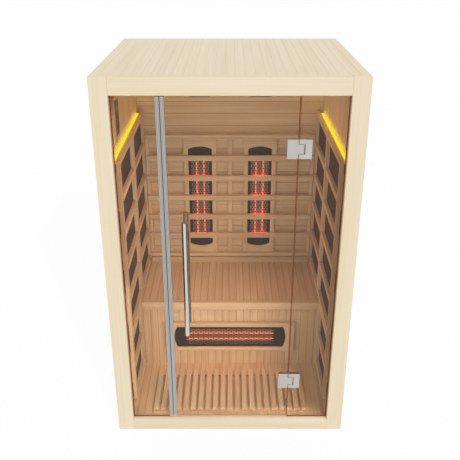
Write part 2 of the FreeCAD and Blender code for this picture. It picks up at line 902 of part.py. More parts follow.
for step in range(BEARERS):
    low = f"(-{SIDE_FACE} + {step} * (2 * {SIDE_FACE} - bearer_width) / {BEARERS - 1})"
    bearers.append(
        box(
            f"bearer_{step}",
            (low, f"{low} + bearer_width"),
            (BENCH_INNER, REAR_FACE),
            (f"{SEAT_UNDER} - bearer_height", SEAT_UNDER),
        )
    )
node(group("bench_bearers", bearers))

# Backrest: uprights on the back wall with bars across them
SKIRTING_HEAD = "(seat_height + skirting_height)"
BACKREST = f"({SKIRTING_HEAD} + backrest_foot_gap + backrest_rail_height / 2 + backrest_rail_reach)"
BAR_END = f"({GRILLE_FACE} - backrest_side_gap)"
BAR_REAR = f"({REAR_FACE} - heater_depth)"
BAR_DEPTH = (f"{BAR_REAR} - backrest_bar_thickness", BAR_REAR)
bars = []
for step in range(BACKREST_BARS):
    centre = f"({BACKREST} + {step - BACKREST_BARS // 2} * backrest_bar_pitch)"
    bars.append(
        box(f"bar_{step}", (f"-{BAR_END}", BAR_END), BAR_DEPTH, about(centre, "backrest_bar_height"))
    )
for step, side in enumerate((-1, 1)):
    centre = f"({BACKREST} + ({side}) * backrest_rail_reach)"
    bars.append(
        box(f"rail_{step}", (f"-{BAR_END}", BAR_END), BAR_DEPTH, about(centre, "backrest_rail_height"))
    )
node(group("backrest_bars", bars))
UPRIGHT_HEIGHT = about(BACKREST, "(2 * backrest_rail_reach + backrest_rail_height)")
UPRIGHT_DEPTH = (BAR_REAR, REAR_FACE)
stile = box(
    "backrest_stile_left",
    (f"-{BAR_END}", f"-{BAR_END} + end_stile_width"),
    UPRIGHT_DEPTH,
    UPRIGHT_HEIGHT,
)
middle = box("backrest_stile_middle", about("0", "middle_stile_width"), UPRIGHT_DEPTH, UPRIGHT_HEIGHT)
node(group("backrest_stiles", [stile, middle, mirrored("backrest_stile_right", stile)]))
node(
    box(
        "bench_skirting",
        (f"-{BAR_END}", BAR_END),
        (f"{REAR_FACE} - skirting_thickness", REAR_FACE),
        ("seat_height", SKIRTING_HEAD),
    )
)

# Heater units: two upright on the back wall and one lying on the bench front.
# Each is drawn upright about its own centre, with its front at Y zero.
UPRIGHT = FreeCAD.Rotation()
LYING = FreeCAD.Rotation(FreeCAD.Vector(0, 1, 0), 90)
HEATER_CENTRE = f"({SKIRTING_HEAD} + heater_foot_gap + heater_length / 2)"
HEATER_PLACES = {
    "left": (UPRIGHT, ("-heater_spacing / 2", BAR_REAR, HEATER_CENTRE)),
    "right": (UPRIGHT, ("heater_spacing / 2", BAR_REAR, HEATER_CENTRE)),
    "bench": (
        LYING,
        ("0", f"{NOSING_REAR} - heater_depth", f"{NOSING_FOOT} - bench_heater_drop - heater_width / 2"),
    ),
}
ROD_LENGTH = "(window_length - 2 * (window_arch + bracket_thickness + reflector_end_gap))"
ROD_DEPTH = "(heater_depth - reflector_thickness - rod_gap - rod_radius)"
FACE_RECESS = f"({ROD_DEPTH} - rod_radius - face_gap - face_thickness)"
ARCH_RADIUS = "((window_width ^ 2 / 4 + window_arch ^ 2) / (2 * window_arch))"


def set_in(item, where):
    """Move a part of a heater unit from its own centre to one of the three places."""
    turn, spot = HEATER_PLACES[where]
    item.Placement = FreeCAD.Placement(FreeCAD.Vector(), turn)
    place(item, *spot)
    return item


def arched(name, depth):
    """A window-shaped block: straight sides with an arch at each end."""
    straight = box(
        f"{name}_middle",
        about("0", "window_width"),
        depth,
        about("0", "(window_length - 2 * window_arch)"),
    )
    ends = []
    for step, side in enumerate((-1, 1)):
        whole = box(f"{name}_end_{step}", about("0", "window_width"), depth, about("0", "window_length"))
        dome = round_bar(
            f"{name}_dome_{step}",
            ARCH_RADIUS,
            "y",
            ("0", depth[0], f"({side}) * (window_length / 2 - {ARCH_RADIUS})"),
            f"({depth[1]}) - ({depth[0]})",
        )
        arch = doc.addObject("Part::MultiCommon", f"{name}_arch_{step}")
        arch.Shapes = [whole, dome]
        ends.append(arch)
    return fuse(name, [straight, *ends])


def heater_frame(where):
    name = f"heater_frame_{where}"
    block = box(
        f"{name}_block", about("0", "heater_width"), ("0", "heater_depth"), about("0", "heater_length")
    )
    return set_in(cut(name, block, [arched(f"{name}_window", ("0", "heater_depth"))]), where)


def heater_rods(where):
    """Two quartz tubes side by side."""
    turn, (across, front, height) = HEATER_PLACES[where]
    depth = f"{front} + {ROD_DEPTH}"
    tubes = []
    for step, side in enumerate((-1, 1)):
        offset = f"({side}) * rod_spacing / 2"
        if turn is UPRIGHT:
            axis = "z"
            start = (f"{across} + {offset}", depth, f"{height} - {ROD_LENGTH} / 2")
        else:
            axis = "x"
            start = (f"{across} - {ROD_LENGTH} / 2", depth, f"{height} + {offset}")
        tubes.append(round_bar(f"rod_{where}_{step}", "rod_radius", axis, start, ROD_LENGTH))
    return tubes


def reflector(where):
    """The bright back sheet with a bracket at each end for the tubes."""
    name = f"reflector_{where}"
    across = about("0", "(window_width - 2 * reflector_side_gap)")
    front = "(heater_depth - reflector_thickness)"
    reach = f"({ROD_LENGTH} / 2 + bracket_thickness)"
    back = box(f"{name}_sheet", across, (front, "heater_depth"), (f"-{reach}", reach))
    depth = (f"{ROD_DEPTH} - rod_radius", front)
    top = box(f"{name}_top", across, depth, (f"{ROD_LENGTH} / 2", reach))
    foot = box(f"{name}_foot", across, depth, (f"-{reach}", f"-{ROD_LENGTH} / 2"))
    return set_in(fuse(name, [back, top, foot]), where)


def slot_rows():
    """Centres of the slots that make the guard's mesh, each row half a slot off the next."""
    pitch = size("slot_pitch")
    rows = int(size("mesh_width") // size("slot_row"))
    columns = round(size("mesh_length") / pitch - 0.5)
    for row in range(rows):
        shift = (row % 2 - 0.5) / 2
        for column in range(columns):
            yield (
                (row - (rows - 1) / 2) * size("slot_row"),
                (column - (columns - 1) / 2 + shift) * pitch,
            )


def face_outline(half_width, half_length, arch):
    """The guard's outline: two straight sides and two arched ends."""
    corner = half_length - arch
    points = [
        FreeCAD.Vector(-half_width, 0, -corner),
        FreeCAD.Vector(half_width, 0, -corner),
        FreeCAD.Vector(half_width, 0, corner),
        FreeCAD.Vector(-half_width, 0, corner),
    ]
    return Part.Wire(
        [
            Part.Arc(points[0], FreeCAD.Vector(0, 0, -half_length), points[1]).toShape(),
            Part.LineSegment(points[1], points[2]).toShape(),
            Part.Arc(points[2], FreeCAD.Vector(0, 0, half_length), points[3]).toShape(),
            Part.LineSegment(points[3], points[0]).toShape(),
        ]
    )


def heater_face(where):
    """The black guard in the window, a sheet with a mesh of slots over the tubes."""
    outline = face_outline(
        size("window_width") / 2 - size("face_fit"),
        size("window_length") / 2 - size("face_fit"),
        size("window_arch"),
    )
    half_slot = FreeCAD.Vector(
        (size("slot_row") - size("slot_wire")) / 2, 0, (size("slot_pitch") - size("slot_bridge")) / 2
    )
    holes = []
    for across, along in slot_rows():
        low = FreeCAD.Vector(across - half_slot.x, 0, along - half_slot.z)
        high = FreeCAD.Vector(across + half_slot.x, 0, along + half_slot.z)
        corners = [low, FreeCAD.Vector(high.x, 0, low.z), high, FreeCAD.Vector(low.x, 0, high.z), low]
        holes.append(Part.makePolygon(corners))
    sheet_face = Part.makeFace([outline, *holes], "Part::FaceMakerBullseye")
    guard = doc.addObject("Part::Feature", f"heater_face_{where}")
    guard.Shape = sheet_face.extrude(FreeCAD.Vector(0, size("face_thickness"), 0))
    turn, (across, depth, height) = HEATER_PLACES[where]
    guard.Placement = FreeCAD.Placement(FreeCAD.Vector(), turn)
    place(guard, across, f"{depth} + {FACE_RECESS}", height)
    return guard


node(group("heater_frames", [heater_frame(where) for where in HEATER_PLACES]))
node(group("heater_faces", [heater_face(where) for where in HEATER_PLACES]))
node(group("heater_rods", [rod for where in HEATER_PLACES for rod in heater_rods(where)]))
node(group("heater_reflectors", [reflector(where) for where in HEATER_PLACES]))

# Floor mat: slats on a front and a rear bearer
MAT_FRONT = f"({FRAME_REAR} + mat_front_gap)"
MAT_REAR = f"({NOSING_REAR} - mat_rear_gap)"
MAT_BEARER_TOP = f"({FLOOR} + mat_bearer_thickness)"
SLAT_PITCH = f"((mat_width - slat_width) / {SLATS - 1})"
mat_bearers = [
    box(f"mat_bearer_{step}", about("0", "mat_width"), depth, (FLOOR, MAT_BEARER_TOP))
    for step, depth in enumerate(
        ((MAT_FRONT, f"{MAT_FRONT} + mat_bearer_width"), (f"{MAT_REAR} - mat_bearer_width", MAT_REAR))
    )
]
node(group("floor_mat_bearers", mat_bearers))
slats = []
for step in range(SLATS):
    low = f"(-mat_width / 2 + {step} * {SLAT_PITCH})"
    slats.append(
        box(
            f"slat_{step}",
            (low, f"{low} + slat_width"),
            (MAT_FRONT, MAT_REAR),
            (MAT_BEARER_TOP, f"{MAT_BEARER_TOP} + slat_thickness"),
        )
    )
node(group("floor_mat_slats", slats))

# Control: a rounded wooden plate on the left wall round a fascia with a display and four keys
PLATE_FRONT = f"({FRAME_REAR} + plate_setback)"
PLATE_MIDDLE = f"({PLATE_FRONT} + plate_width / 2)"
PLATE_CENTRE = f"({PLATE_HEAD} - plate_height / 2)"
FASCIA_FACE = f"(-{SIDE_FACE} + plate_thickness + fascia_proud)"
FASCIA_HEAD = f"({PLATE_CENTRE} + fascia_height / 2)"
FASCIA_FOOT = f"({PLATE_CENTRE} - fascia_height / 2)"

plate, plate_pad = padded("plate_blank", rectangle("plate_width", "plate_height"), "plate_thickness")
doc.recompute()
corners = [
    f"Edge{step}"
    for step, edge in enumerate(plate_pad.Shape.Edges, 1)
    if abs(edge.tangentAt(edge.FirstParameter).z) > 0.5
]
plate_round = plate.newObject("PartDesign::Fillet", "plate_round")
plate_round.Base = (plate_pad, corners)
plate_round.setExpression("Radius", linked("plate_corner"))
plate.Tip = plate_round
plate.Placement = FreeCAD.Placement(FreeCAD.Vector(), facing((0, 1, 0), (0, 0, 1)))
place(plate, f"-{SIDE_FACE}", PLATE_FRONT, f"{PLATE_HEAD} - plate_height")
plate_window = box(
    "plate_window",
    (f"-{SIDE_FACE}", f"-{SIDE_FACE} + plate_thickness"),
    about(PLATE_MIDDLE, "(fascia_width + 2 * fascia_fit)"),
    about(PLATE_CENTRE, "(fascia_height + 2 * fascia_fit)"),
)
node(cut("control_plate", plate, [plate_window]))

fascia = box(
    "fascia_block",
    (f"-{SIDE_FACE}", FASCIA_FACE),
    about(PLATE_MIDDLE, "fascia_width"),
    (FASCIA_FOOT, FASCIA_HEAD),
)
DISPLAY_CENTRE = f"({FASCIA_HEAD} - display_head_drop - display_height / 2)"
display_seat = box(
    "display_seat",
    (f"{FASCIA_FACE} - display_thickness", FASCIA_FACE),
    about(PLATE_MIDDLE, "(display_width + 2 * display_fit)"),
    about(DISPLAY_CENTRE, "(display_height + 2 * display_fit)"),
)
key_rooms, keys = [], []
for row, names in enumerate(KEY_NAMES):
    for column, name in enumerate(names):
        across = f"({PLATE_MIDDLE} + ({2 * column - 1}) * key_spacing_across / 2)"
        up = f"({FASCIA_FOOT} + key_foot_rise + {1 - row} * key_spacing_down)"
        key_rooms.append(
            box(
                f"{name}_room",
                (f"{FASCIA_FACE} - key_depth - key_travel - key_fit", FASCIA_FACE),
                about(across, "(key_width + 2 * key_fit)"),
                about(up, "(key_height + 2 * key_fit)"),
            )
        )
        keys.append(
            box(
                name,
                (f"{FASCIA_FACE} - key_depth", f"{FASCIA_FACE} + key_proud"),
                about(across, "key_width"),
                about(up, "key_height"),
            )
        )
node(cut("control_fascia", fascia, [display_seat, *key_rooms]))
node(
    box(
        "control_display",
        (f"{FASCIA_FACE} - display_thickness", FASCIA_FACE),
        about(PLATE_MIDDLE, "display_width"),
        about(DISPLAY_CENTRE, "display_height"),
    )
)
for key in keys:
    node(key)

# Supply: the power unit above the ceiling and the cable's gland on the back
SUPPLY_REAR = f"({REAR_FACE} - supply_inset)"
SUPPLY_FRONT = f"({SUPPLY_REAR} - supply_length)"
SUPPLY_HEAD = f"({ROOF_UNDER} - supply_head_gap)"
supply_block = box(
    "supply_block", about("0", "supply_width"), (SUPPLY_FRONT, SUPPLY_REAR), (CEILING_TOP, SUPPLY_HEAD)
)
supply_room = box(
    "supply_room",
    about("0", "(supply_width - 2 * supply_wall)"),
    (f"{SUPPLY_FRONT} + supply_wall", f"{SUPPLY_REAR} - supply_wall"),
    (CEILING_TOP, f"{SUPPLY_HEAD} - supply_wall"),
)
node(cut("power_unit", supply_block, [supply_room]))
gland_spot = (f"{HALF_WIDTH} - gland_inset", REAR, f"{ROOF_UNDER} - gland_drop")
gland_body = round_bar("gland_body", "gland_radius", "y", gland_spot, "gland_length")
node(cut("cable_gland", gland_body, [round_bar("gland_hole", "gland_bore", "y", gland_spot, "gland_length")]))

doc.recompute()
failed = [item.Name for item in doc.Objects if {"Invalid", "Error"} & set(item.State)]
if failed:
    raise RuntimeError(f"objects that did not recompute: {failed}")
for item in nodes:
    if item.Shape.isNull() or not item.Shape.isValid():
        raise RuntimeError(f"no valid shape: {item.Label}")

os.makedirs("parts", exist_ok=True)
for item in nodes:
    item.Shape.exportStep(f"parts/{item.Label}.step")
print(len(nodes), "nodes,", sum(len(item.Shape.Solids) for item in nodes), "solids")
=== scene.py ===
import logging
import math
from contextlib import contextmanager
from dataclasses import dataclass
from enum import Enum
from functools import cache
from random import Random
from typing import Any, Callable, Iterable, Iterator, Sequence

import bpy
import numpy as np
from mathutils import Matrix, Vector


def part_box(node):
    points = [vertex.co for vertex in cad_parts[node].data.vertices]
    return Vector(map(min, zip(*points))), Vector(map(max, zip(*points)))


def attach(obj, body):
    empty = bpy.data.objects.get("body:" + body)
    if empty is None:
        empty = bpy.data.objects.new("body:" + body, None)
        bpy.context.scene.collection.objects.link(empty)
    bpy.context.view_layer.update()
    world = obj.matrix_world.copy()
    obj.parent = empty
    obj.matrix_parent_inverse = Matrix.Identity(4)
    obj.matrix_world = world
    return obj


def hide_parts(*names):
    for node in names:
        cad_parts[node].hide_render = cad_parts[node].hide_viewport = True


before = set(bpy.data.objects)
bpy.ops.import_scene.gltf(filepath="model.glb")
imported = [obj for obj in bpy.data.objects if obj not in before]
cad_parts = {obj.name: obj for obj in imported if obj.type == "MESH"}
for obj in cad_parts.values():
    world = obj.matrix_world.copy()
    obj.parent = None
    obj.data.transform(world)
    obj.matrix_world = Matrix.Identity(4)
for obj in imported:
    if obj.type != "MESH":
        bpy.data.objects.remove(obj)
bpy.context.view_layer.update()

# The looks of a two-seat infrared cabin: pale boards, a bronze glass front, a slatted bench,
# side lattices over dark heater panels and three glowing heater units.
# Metres; X to the right seen from the door, Y to the back, Z up.

logging.basicConfig(level=logging.INFO, format="%(name)s: %(message)s")
LOG = logging.getLogger("cabin")
MM = 0.001
NEAR = 0.01 * MM  # places closer than this are the same
FACING = 0.9  # the least part of a normal along an axis, for a face that looks that way
STRAIGHT = 0.99  # the least part of an edge along an axis, for an edge that runs that way
FLAT = 0.95  # a face with no part of its normal above this is slanted
SAME_PLANE = math.radians(1)  # faces that turn by less are one face
THIN = 1e-6  # the share of a board that is too thin to saw
WHITE = "#FFFFFF"
Piece = bpy.types.Object
Face = bpy.types.MeshPolygon
Tree = bpy.types.NodeTree
Node = bpy.types.Node
Point = Sequence[float]


class Axis(Enum):
    """A direction of the cabin."""

    X = 0
    Y = 1
    Z = 2


class Body(Enum):
    """The rigid bodies that pieces ride on."""

    CABIN = "cabin"
    DOOR = "door"
    KEY_POWER = "key_power"
    KEY_LIGHT = "key_light"
    KEY_DOWN = "key_down"
    KEY_UP = "key_up"


class Slot(Enum):
    """The record's material slots."""

    PALE_WOOD = "pale_wood"
    INNER_WOOD = "inner_wood"
    GLASS = "bronze_glass"
    RUBBER = "seal_rubber"
    ALUMINIUM = "satin_aluminium"
    HINGE = "hinge_steel"
    HANDLE = "handle_chrome"
    GUARD = "guard_black"
    REFLECTOR = "reflector_aluminium"
    TUBE = "quartz_tube"
    CARBON = "carbon_panel"
    LIGHT = "light_diffuser"
    FASCIA = "fascia_black"
    DISPLAY = "display_glass"
    KEY = "key_plastic"
    SUPPLY = "supply_steel"
    GLAND = "gland_plastic"


# Finishes


def linear(colour: str) -> tuple[float, float, float, float]:
    """Turn an sRGB hex colour to linear.

    Args:
        colour: six hex digits after a hash sign.

    Returns:
        Red, green, blue and an alpha of 1.
    """
    parts = (int(colour[i : i + 2], 16) / 255 for i in (1, 3, 5))
    return (*(c / 12.92 if c <= 0.04045 else ((c + 0.055) / 1.055) ** 2.4 for c in parts), 1.0)


def add_node(tree: Tree, kind: str, inputs: dict[Any, Any] | None = None, **settings: Any) -> Node:
    """Add a node with its settings and links.

    Args:
        tree: the material's or world's nodes.
        kind: the node's type name after ShaderNode.
        inputs: for each input, by name or number, a value, a socket that feeds it or a node whose
            first output in use feeds it.
        settings: the node's own properties.

    Returns:
        The new node.
    """
    node = tree.nodes.new(f"ShaderNode{kind}")
    for name, value in settings.items():
        setattr(node, name, value)
    for name, value in (inputs or {}).items():
        if isinstance(value, Node):
            value = next(output for output in value.outputs if output.enabled)
        if isinstance(value, bpy.types.NodeSocket):
            tree.links.new(value, node.inputs[name])
        else:
            node.inputs[name].default_value = value
    return node


def in_sight(tree: Tree) -> Node:
    """Tell the rays that see the backdrop from those that carry its light.

    Args:
        tree: the world's or the floor's nodes.

    Returns:
        A node that gives one for what the camera sees, also in metal and through glass, or else nought.
    """
    path = add_node(tree, "LightPath").outputs
    seen = path["Is Camera Ray"]
    for name in ("Is Glossy Ray", "Is Transmission Ray"):
        seen = add_node(tree, "Math", {0: seen, 1: path[name]}, operation="MAXIMUM")
    return seen


@dataclass(frozen=True)
class Finish:
    """A named surface and its slot in the record; each kind of finish draws its own shader."""

    name: str
    slot: Slot | None

    def shade(self, tree: Tree) -> Node:
        """Draw the shader in a tree and return its last node."""
        raise NotImplementedError

    @cache
    def material(self) -> bpy.types.Material:
        """Make the material once.

        Returns:
            The same material each time.
        """
        material = bpy.data.materials.new(self.name)
        material.use_nodes = True
        tree = material.node_tree
        tree.nodes.clear()
        add_node(tree, "OutputMaterial", {"Surface": self.shade(tree)})
        return material


@dataclass(frozen=True)
class Timber(Finish):
    """Planed and sanded softwood: straight growth lines along each board, no two boards quite alike,
    and painted shade on the chamfers of its joints and edges.
    """

    early: str
    late: str
    # joint: the painted shade colour of the chamfers in the joints and on the eased edges
    joint: str
    tone_spread: float = 0.07
    line: float = 3.0 * MM
    band: float = 13.0 * MM
    cloud: float = 60.0 * MM
    length: float = 700.0 * MM
    roughness: float = 0.52
    smoother: float = 0.06
    rougher: float = 0.1

    def shade(self, tree: Tree) -> Node:
        """Draw growth lines on the board's own grain coordinates, and the painted shade on its
        chamfers.

        Args:
            tree: the material's nodes.

        Returns:
            The shader.
        """
        grain = add_node(tree, "Attribute", attribute_name="grain").outputs["Vector"]
        board = add_node(tree, "Attribute", attribute_name="board").outputs["Vector"]
        tone, joint, _ = add_node(tree, "SeparateXYZ", {0: board}).outputs
        layers = []
        for width, detail in ((self.line, 2.0), (self.band, 2.0), (self.cloud, 1.0)):
            scale = (1 / self.length, 1 / width, 1 / width)
            place = add_node(tree, "Mapping", {"Vector": grain, "Scale": scale})
            pattern = {"Vector": place, "Scale": 1.0, "Detail": detail, "Distortion": 0.2}
            layers.append(add_node(tree, "TexNoise", pattern))
        lines, bands, clouds = layers
        broad = add_node(tree, "Mix", {"Factor": 0.35, "A": bands, "B": clouds})
        both = add_node(tree, "Mix", {"Factor": 0.3, "A": broad, "B": lines})
        ramp = {"Value": both, "From Min": 0.36, "From Max": 0.66}
        growth = add_node(tree, "MapRange", ramp, interpolation_type="SMOOTHSTEP")
        colours = {"Factor": growth, "A": linear(self.early), "B": linear(self.late)}
        colour = add_node(tree, "Mix", colours, data_type="RGBA")
        half = self.tone_spread / 2
        levels = {"Value": tone, "To Min": 1 - half, "To Max": 1 + half}
        value = add_node(tree, "MapRange", levels)
        toned = add_node(tree, "HueSaturation", {"Color": colour, "Value": value})
        # Painted shade: the chamfers in the joints and on the edges take the joint colour
        colours = {"Factor": joint, "A": toned, "B": linear(self.joint)}
        colour_with_painted_shade = add_node(tree, "Mix", colours, data_type="RGBA")
        least, most = self.roughness - self.smoother, self.roughness + self.rougher
        levels = {"Value": lines, "To Min": least, "To Max": most}
        height = {"Strength": 0.25, "Distance": 0.25 * MM, "Height": lines}
        surface = {
            "Base Color": colour_with_painted_shade,
            "Roughness": add_node(tree, "MapRange", levels),
            "Normal": add_node(tree, "Bump", height),
            "IOR": 1.45,
            "Specular IOR Level": 0.2,
        }
        return add_node(tree, "BsdfPrincipled", surface)


@dataclass(frozen=True)
class Glazing(Finish):
    """Toughened float glass, tinted bronze in the melt, that also lets lamps shine through."""

    tint: str
    lamp_tint: str
    clear: float = 1.0
    ior: float = 1.33

    def shade(self, tree: Tree) -> Node:
        """Draw clear tinted glass that casts a tinted light.

        Args:
            tree: the material's nodes.

        Returns:
            The shader.
        """
        surface = {"Base Color": linear(self.tint), "Roughness": 0.0, "IOR": self.ior}
        glass = add_node(tree, "BsdfPrincipled", {**surface, "Transmission Weight": self.clear})
        one_face = (*(math.sqrt(part) for part in linear(self.lamp_tint)[:3]), 1.0)
        lamp = add_node(tree, "BsdfTransparent", {"Color": one_face})
        shadow = add_node(tree, "LightPath").outputs["Is Shadow Ray"]
        return add_node(tree, "MixShader", {0: shadow, 1: glass, 2: lamp})


@dataclass(frozen=True)
class Metal(Finish):
    """A bare metal with the fine lines that brushing or drawing leaves, and a painted rim colour where
    it turns away: painted shade where the rim is darker, painted sheen where it is lighter.
    """

    colour: str
    painted_rim: str
    roughness: float
    along: Axis = Axis.Z
    painted_rim_from: float = 0.3
    painted_rim_to: float = 0.9
    metallic: float = 1.0
    line: float = 0.8 * MM
    length: float = 60.0 * MM
    play: tuple[float, float] = (0.8, 1.25)

    def shade(self, tree: Tree) -> Node:
        """Draw the lines in the roughness and the height, and the painted rim: shade where it is
        darker, sheen where it is lighter.

        Args:
            tree: the material's nodes.

        Returns:
            The shader.
        """
        scale = [1 / self.line] * 3
        scale[self.along.value] = 1 / self.length
        place = add_node(tree, "TexCoord").outputs["Object"]
        drawn = add_node(tree, "Mapping", {"Vector": place, "Scale": scale})
        lines = add_node(tree, "TexNoise", {"Vector": drawn, "Scale": 1.0, "Detail": 2.0})
        least, most = (self.roughness * share for share in self.play)
        levels = {"Value": lines, "To Min": least, "To Max": most}
        height = {"Strength": 0.08, "Distance": 0.1 * MM, "Height": lines}
        # Painted shade and sheen: the base colour turns to the rim colour where the surface turns away
        # from the view
        facing = add_node(tree, "LayerWeight", {"Blend": 0.5}).outputs["Facing"]
        ramp = {"Value": facing, "From Min": self.painted_rim_from, "From Max": self.painted_rim_to}
        turn = add_node(tree, "MapRange", ramp, interpolation_type="SMOOTHSTEP")
        colours = {"Factor": turn, "A": linear(self.colour), "B": linear(self.painted_rim)}
        surface = {
            "Base Color": add_node(tree, "Mix", colours, data_type="RGBA"),
            "Metallic": self.metallic,
            "Roughness": add_node(tree, "MapRange", levels),
            "Normal": add_node(tree, "Bump", height),
        }
        return add_node(tree, "BsdfPrincipled", surface)


@dataclass(frozen=True)
class Coated(Finish):
    """A moulded or painted surface with a fine even texture."""

    colour: str
    mottle: str
    roughness: float
    grit: float
    bump: float = 0.1
    gloss: float = 0.5
    play: float = 0.06

    def shade(self, tree: Tree) -> Node:
        """Draw a fine mottle in the colour, the roughness and the height.

        Args:
            tree: the material's nodes.

        Returns:
            The shader.
        """
        place = add_node(tree, "TexCoord").outputs["Object"]
        pattern = {"Vector": place, "Scale": 1 / self.grit, "Detail": 3.0}
        grit = add_node(tree, "TexNoise", pattern)
        colours = {"Factor": grit, "A": linear(self.colour), "B": linear(self.mottle)}
        least, most = self.roughness - self.play, self.roughness + self.play
        levels = {"Value": grit, "To Min": least, "To Max": most}
        height = {"Strength": self.bump, "Distance": 0.2 * MM, "Height": grit}
        surface = {
            "Base Color": add_node(tree, "Mix", colours, data_type="RGBA"),
            "Roughness": add_node(tree, "MapRange", levels),
            "Normal": add_node(tree, "Bump", height),
            "Specular IOR Level": self.gloss,
        }
        return add_node(tree, "BsdfPrincipled", surface)


@dataclass(frozen=True)
class Glow(Finish):
    """A surface that gives light of its own, a little uneven along its length."""

    colour: str
    glow: str
    strength: float
    patch: float
    play: float = 0.2

    def shade(self, tree: Tree) -> Node:
        """Draw the glow with soft brighter and dimmer patches.

        Args:
            tree: the material's nodes.

        Returns:
            The shader.
        """
        place = add_node(tree, "TexCoord").outputs["Object"]
        pattern = {"Vector": place, "Scale": 1 / self.patch, "Detail": 1.0}
        patch = add_node(tree, "TexNoise", pattern)
        least, most = (self.strength * (1 + part) for part in (-self.play, self.play))
        levels = {"Value": patch, "To Min": least, "To Max": most}
        surface = {
            "Base Color": linear(self.colour),
            "Roughness": 0.4,
            "Emission Color": linear(self.glow),
            "Emission Strength": add_node(tree, "MapRange", levels),
        }
        return add_node(tree, "BsdfPrincipled", surface)


@dataclass(frozen=True)
class Backdrop(Finish):
    """A matt floor that is almost white where it is seen and keeps a faint shadow."""

    colour: str
    glow: float

    def shade(self, tree: Tree) -> Node:
        """Draw the floor's own colour with white over it for what sees it.

        Args:
            tree: the material's nodes.

        Returns:
            The shader.
        """
        matt = add_node(tree, "BsdfDiffuse", {"Color": linear(self.colour)})
        white = add_node(tree, "Emission", {"Color": linear(WHITE), "Strength": 1.0})
        parts = {0: in_sight(tree), 1: self.glow}
        share = add_node(tree, "Math", parts, operation="MULTIPLY")
        return add_node(tree, "MixShader", {0: share, 1: matt, 2: white})


# Hemlock boards with a clear matt lacquer: a pale cream ground, faint straw-coloured lines and a faint
# painted shade in the joints
PALE_HEMLOCK = Timber("hemlock_outside", Slot.PALE_WOOD, "#EBDDC4", "#E5D5B4", "#E0D0B0", 0.03)
# The same boards untreated inside, where warmth has turned them a little darker, with a reddish painted
# shade in the joints and on the edges
WARM_HEMLOCK = Timber("hemlock_inside", Slot.INNER_WOOD, "#EEDDC2", "#DBC3A0", "#B07A52")
# Bronze float glass, 8 mm: the room behind it looks warm and dim
BRONZE_GLASS = Glazing("bronze_float_glass", Slot.GLASS, "#DCCDBC", lamp_tint="#80624E")
# The ground edge of the bronze glass: a deep red-brown line
GLASS_EDGE = Glazing("bronze_glass_edge", Slot.GLASS, "#8A4526", lamp_tint=WHITE, clear=0.2)
# Extruded closing strip: a dull rubber with a grey bloom
SEAL_RUBBER = Coated("dark_seal_rubber", Slot.RUBBER, "#7C7875", "#6E6A67", 0.6, 1.0 * MM)
# Amber rubber round the fixed panes: a thin reddish line between the glass and the frame
AMBER_RUBBER = Coated("amber_seal_rubber", Slot.RUBBER, "#B06A40", "#A05E3A", 0.55, 1.0 * MM)
# Clear amber vinyl seal on the door's hinge side: a thin red-brown line that lets light past
AMBER_SEAL = Glazing("amber_vinyl_seal", Slot.RUBBER, "#8A4422", lamp_tint=WHITE, clear=0.3)
# Satin anodised aluminium with drawing lines along its length and a painted dark rim shade
SATIN_ALUMINIUM = Metal("satin_anodised_aluminium", Slot.ALUMINIUM, "#C4C1BD", "#7C7976", 0.34)
# The flute of that profile, where the rollers leave it duller, with a painted dark rim shade
DULL_ALUMINIUM = Metal("dull_anodised_aluminium", Slot.ALUMINIUM, "#C0BDB9", "#858280", 0.42)
# Cream nylon caps in the feet of the channels
CREAM_NYLON = Coated("cream_nylon", Slot.ALUMINIUM, "#E9DCC0", "#E0D2B4", 0.5, 0.8 * MM)
# Satin nickel-plated hinge plates: almost white, softly shiny, with a painted light rim sheen
SATIN_NICKEL = Metal("satin_nickel_plate", Slot.HINGE, "#C5C1BD", "#D1CECB", 0.45, Axis.X)
# The same plating on the polished chamfers, painted much lighter: a painted highlight
NICKEL_CHAMFER_HIGHLIGHT = Metal("nickel_chamfer_painted_highlight", Slot.HINGE, "#F0EEEB", "#F0EEEB", 0.3, Axis.X)
# Brushed stainless bar: grey with a long soft highlight and a painted dark rim shade
BRUSHED_STEEL = Metal(
    "brushed_stainless_steel", Slot.HANDLE, "#D4D2CF", "#8A8886", 0.2, painted_rim_from=0.4, painted_rim_to=0.95
)
# Stove-enamelled steel guard, black with a faint brown cast
BLACK_ENAMEL = Coated("black_stove_enamel", Slot.GUARD, "#251F1D", "#2E2624", 0.5, 1.5 * MM)
# Etched aluminium reflector: an even pale grey that takes the tubes' red light, with a slightly darker
# painted rim shade
ETCHED_ALUMINIUM = Metal("etched_aluminium", Slot.REFLECTOR, "#C8C8CC", "#B8B8BC", 0.2, metallic=0.5)
# Ruby quartz tubes at working heat
HOT_QUARTZ = Glow("hot_quartz_tube", Slot.TUBE, "#F0683C", "#FF9367", 1.5, 14 * MM)
# White steatite ends of the tubes
STEATITE = Coated("white_steatite", Slot.TUBE, "#DAD4C8", "#CFC8BA", 0.55, 0.7 * MM)
# Carbon heating film under a dark red-brown film
CARBON_FILM = Coated(
    "carbon_heating_film", Slot.CARBON, "#4C2C22", "#3A231C", 0.45, 2.0 * MM, bump=0.2, gloss=0.15
)
# Opal yellow light diffuser
YELLOW_DIFFUSER = Glow("yellow_opal_diffuser", Slot.LIGHT, "#A89008", "#FFEE1E", 1.2, 30 * MM)
# Dark red-brown ABS fascia
DARK_ABS = Coated("dark_red_abs", Slot.FASCIA, "#653427", "#542A20", 0.35, 2.0 * MM, bump=0.02)
# Dark display window
DISPLAY_WINDOW = Coated("display_window", Slot.DISPLAY, "#1A2426", "#223033", 0.12, 6.0 * MM, bump=0.0)
# Lit strokes of the display
DISPLAY_STROKE = Glow("display_stroke", Slot.DISPLAY, "#A8B8B4", "#A8B8B4", 0.45, 4 * MM)
# Moulded grey keys
GREY_ABS = Coated("grey_abs", Slot.KEY, "#77716C", "#6C6661", 0.45, 0.8 * MM)
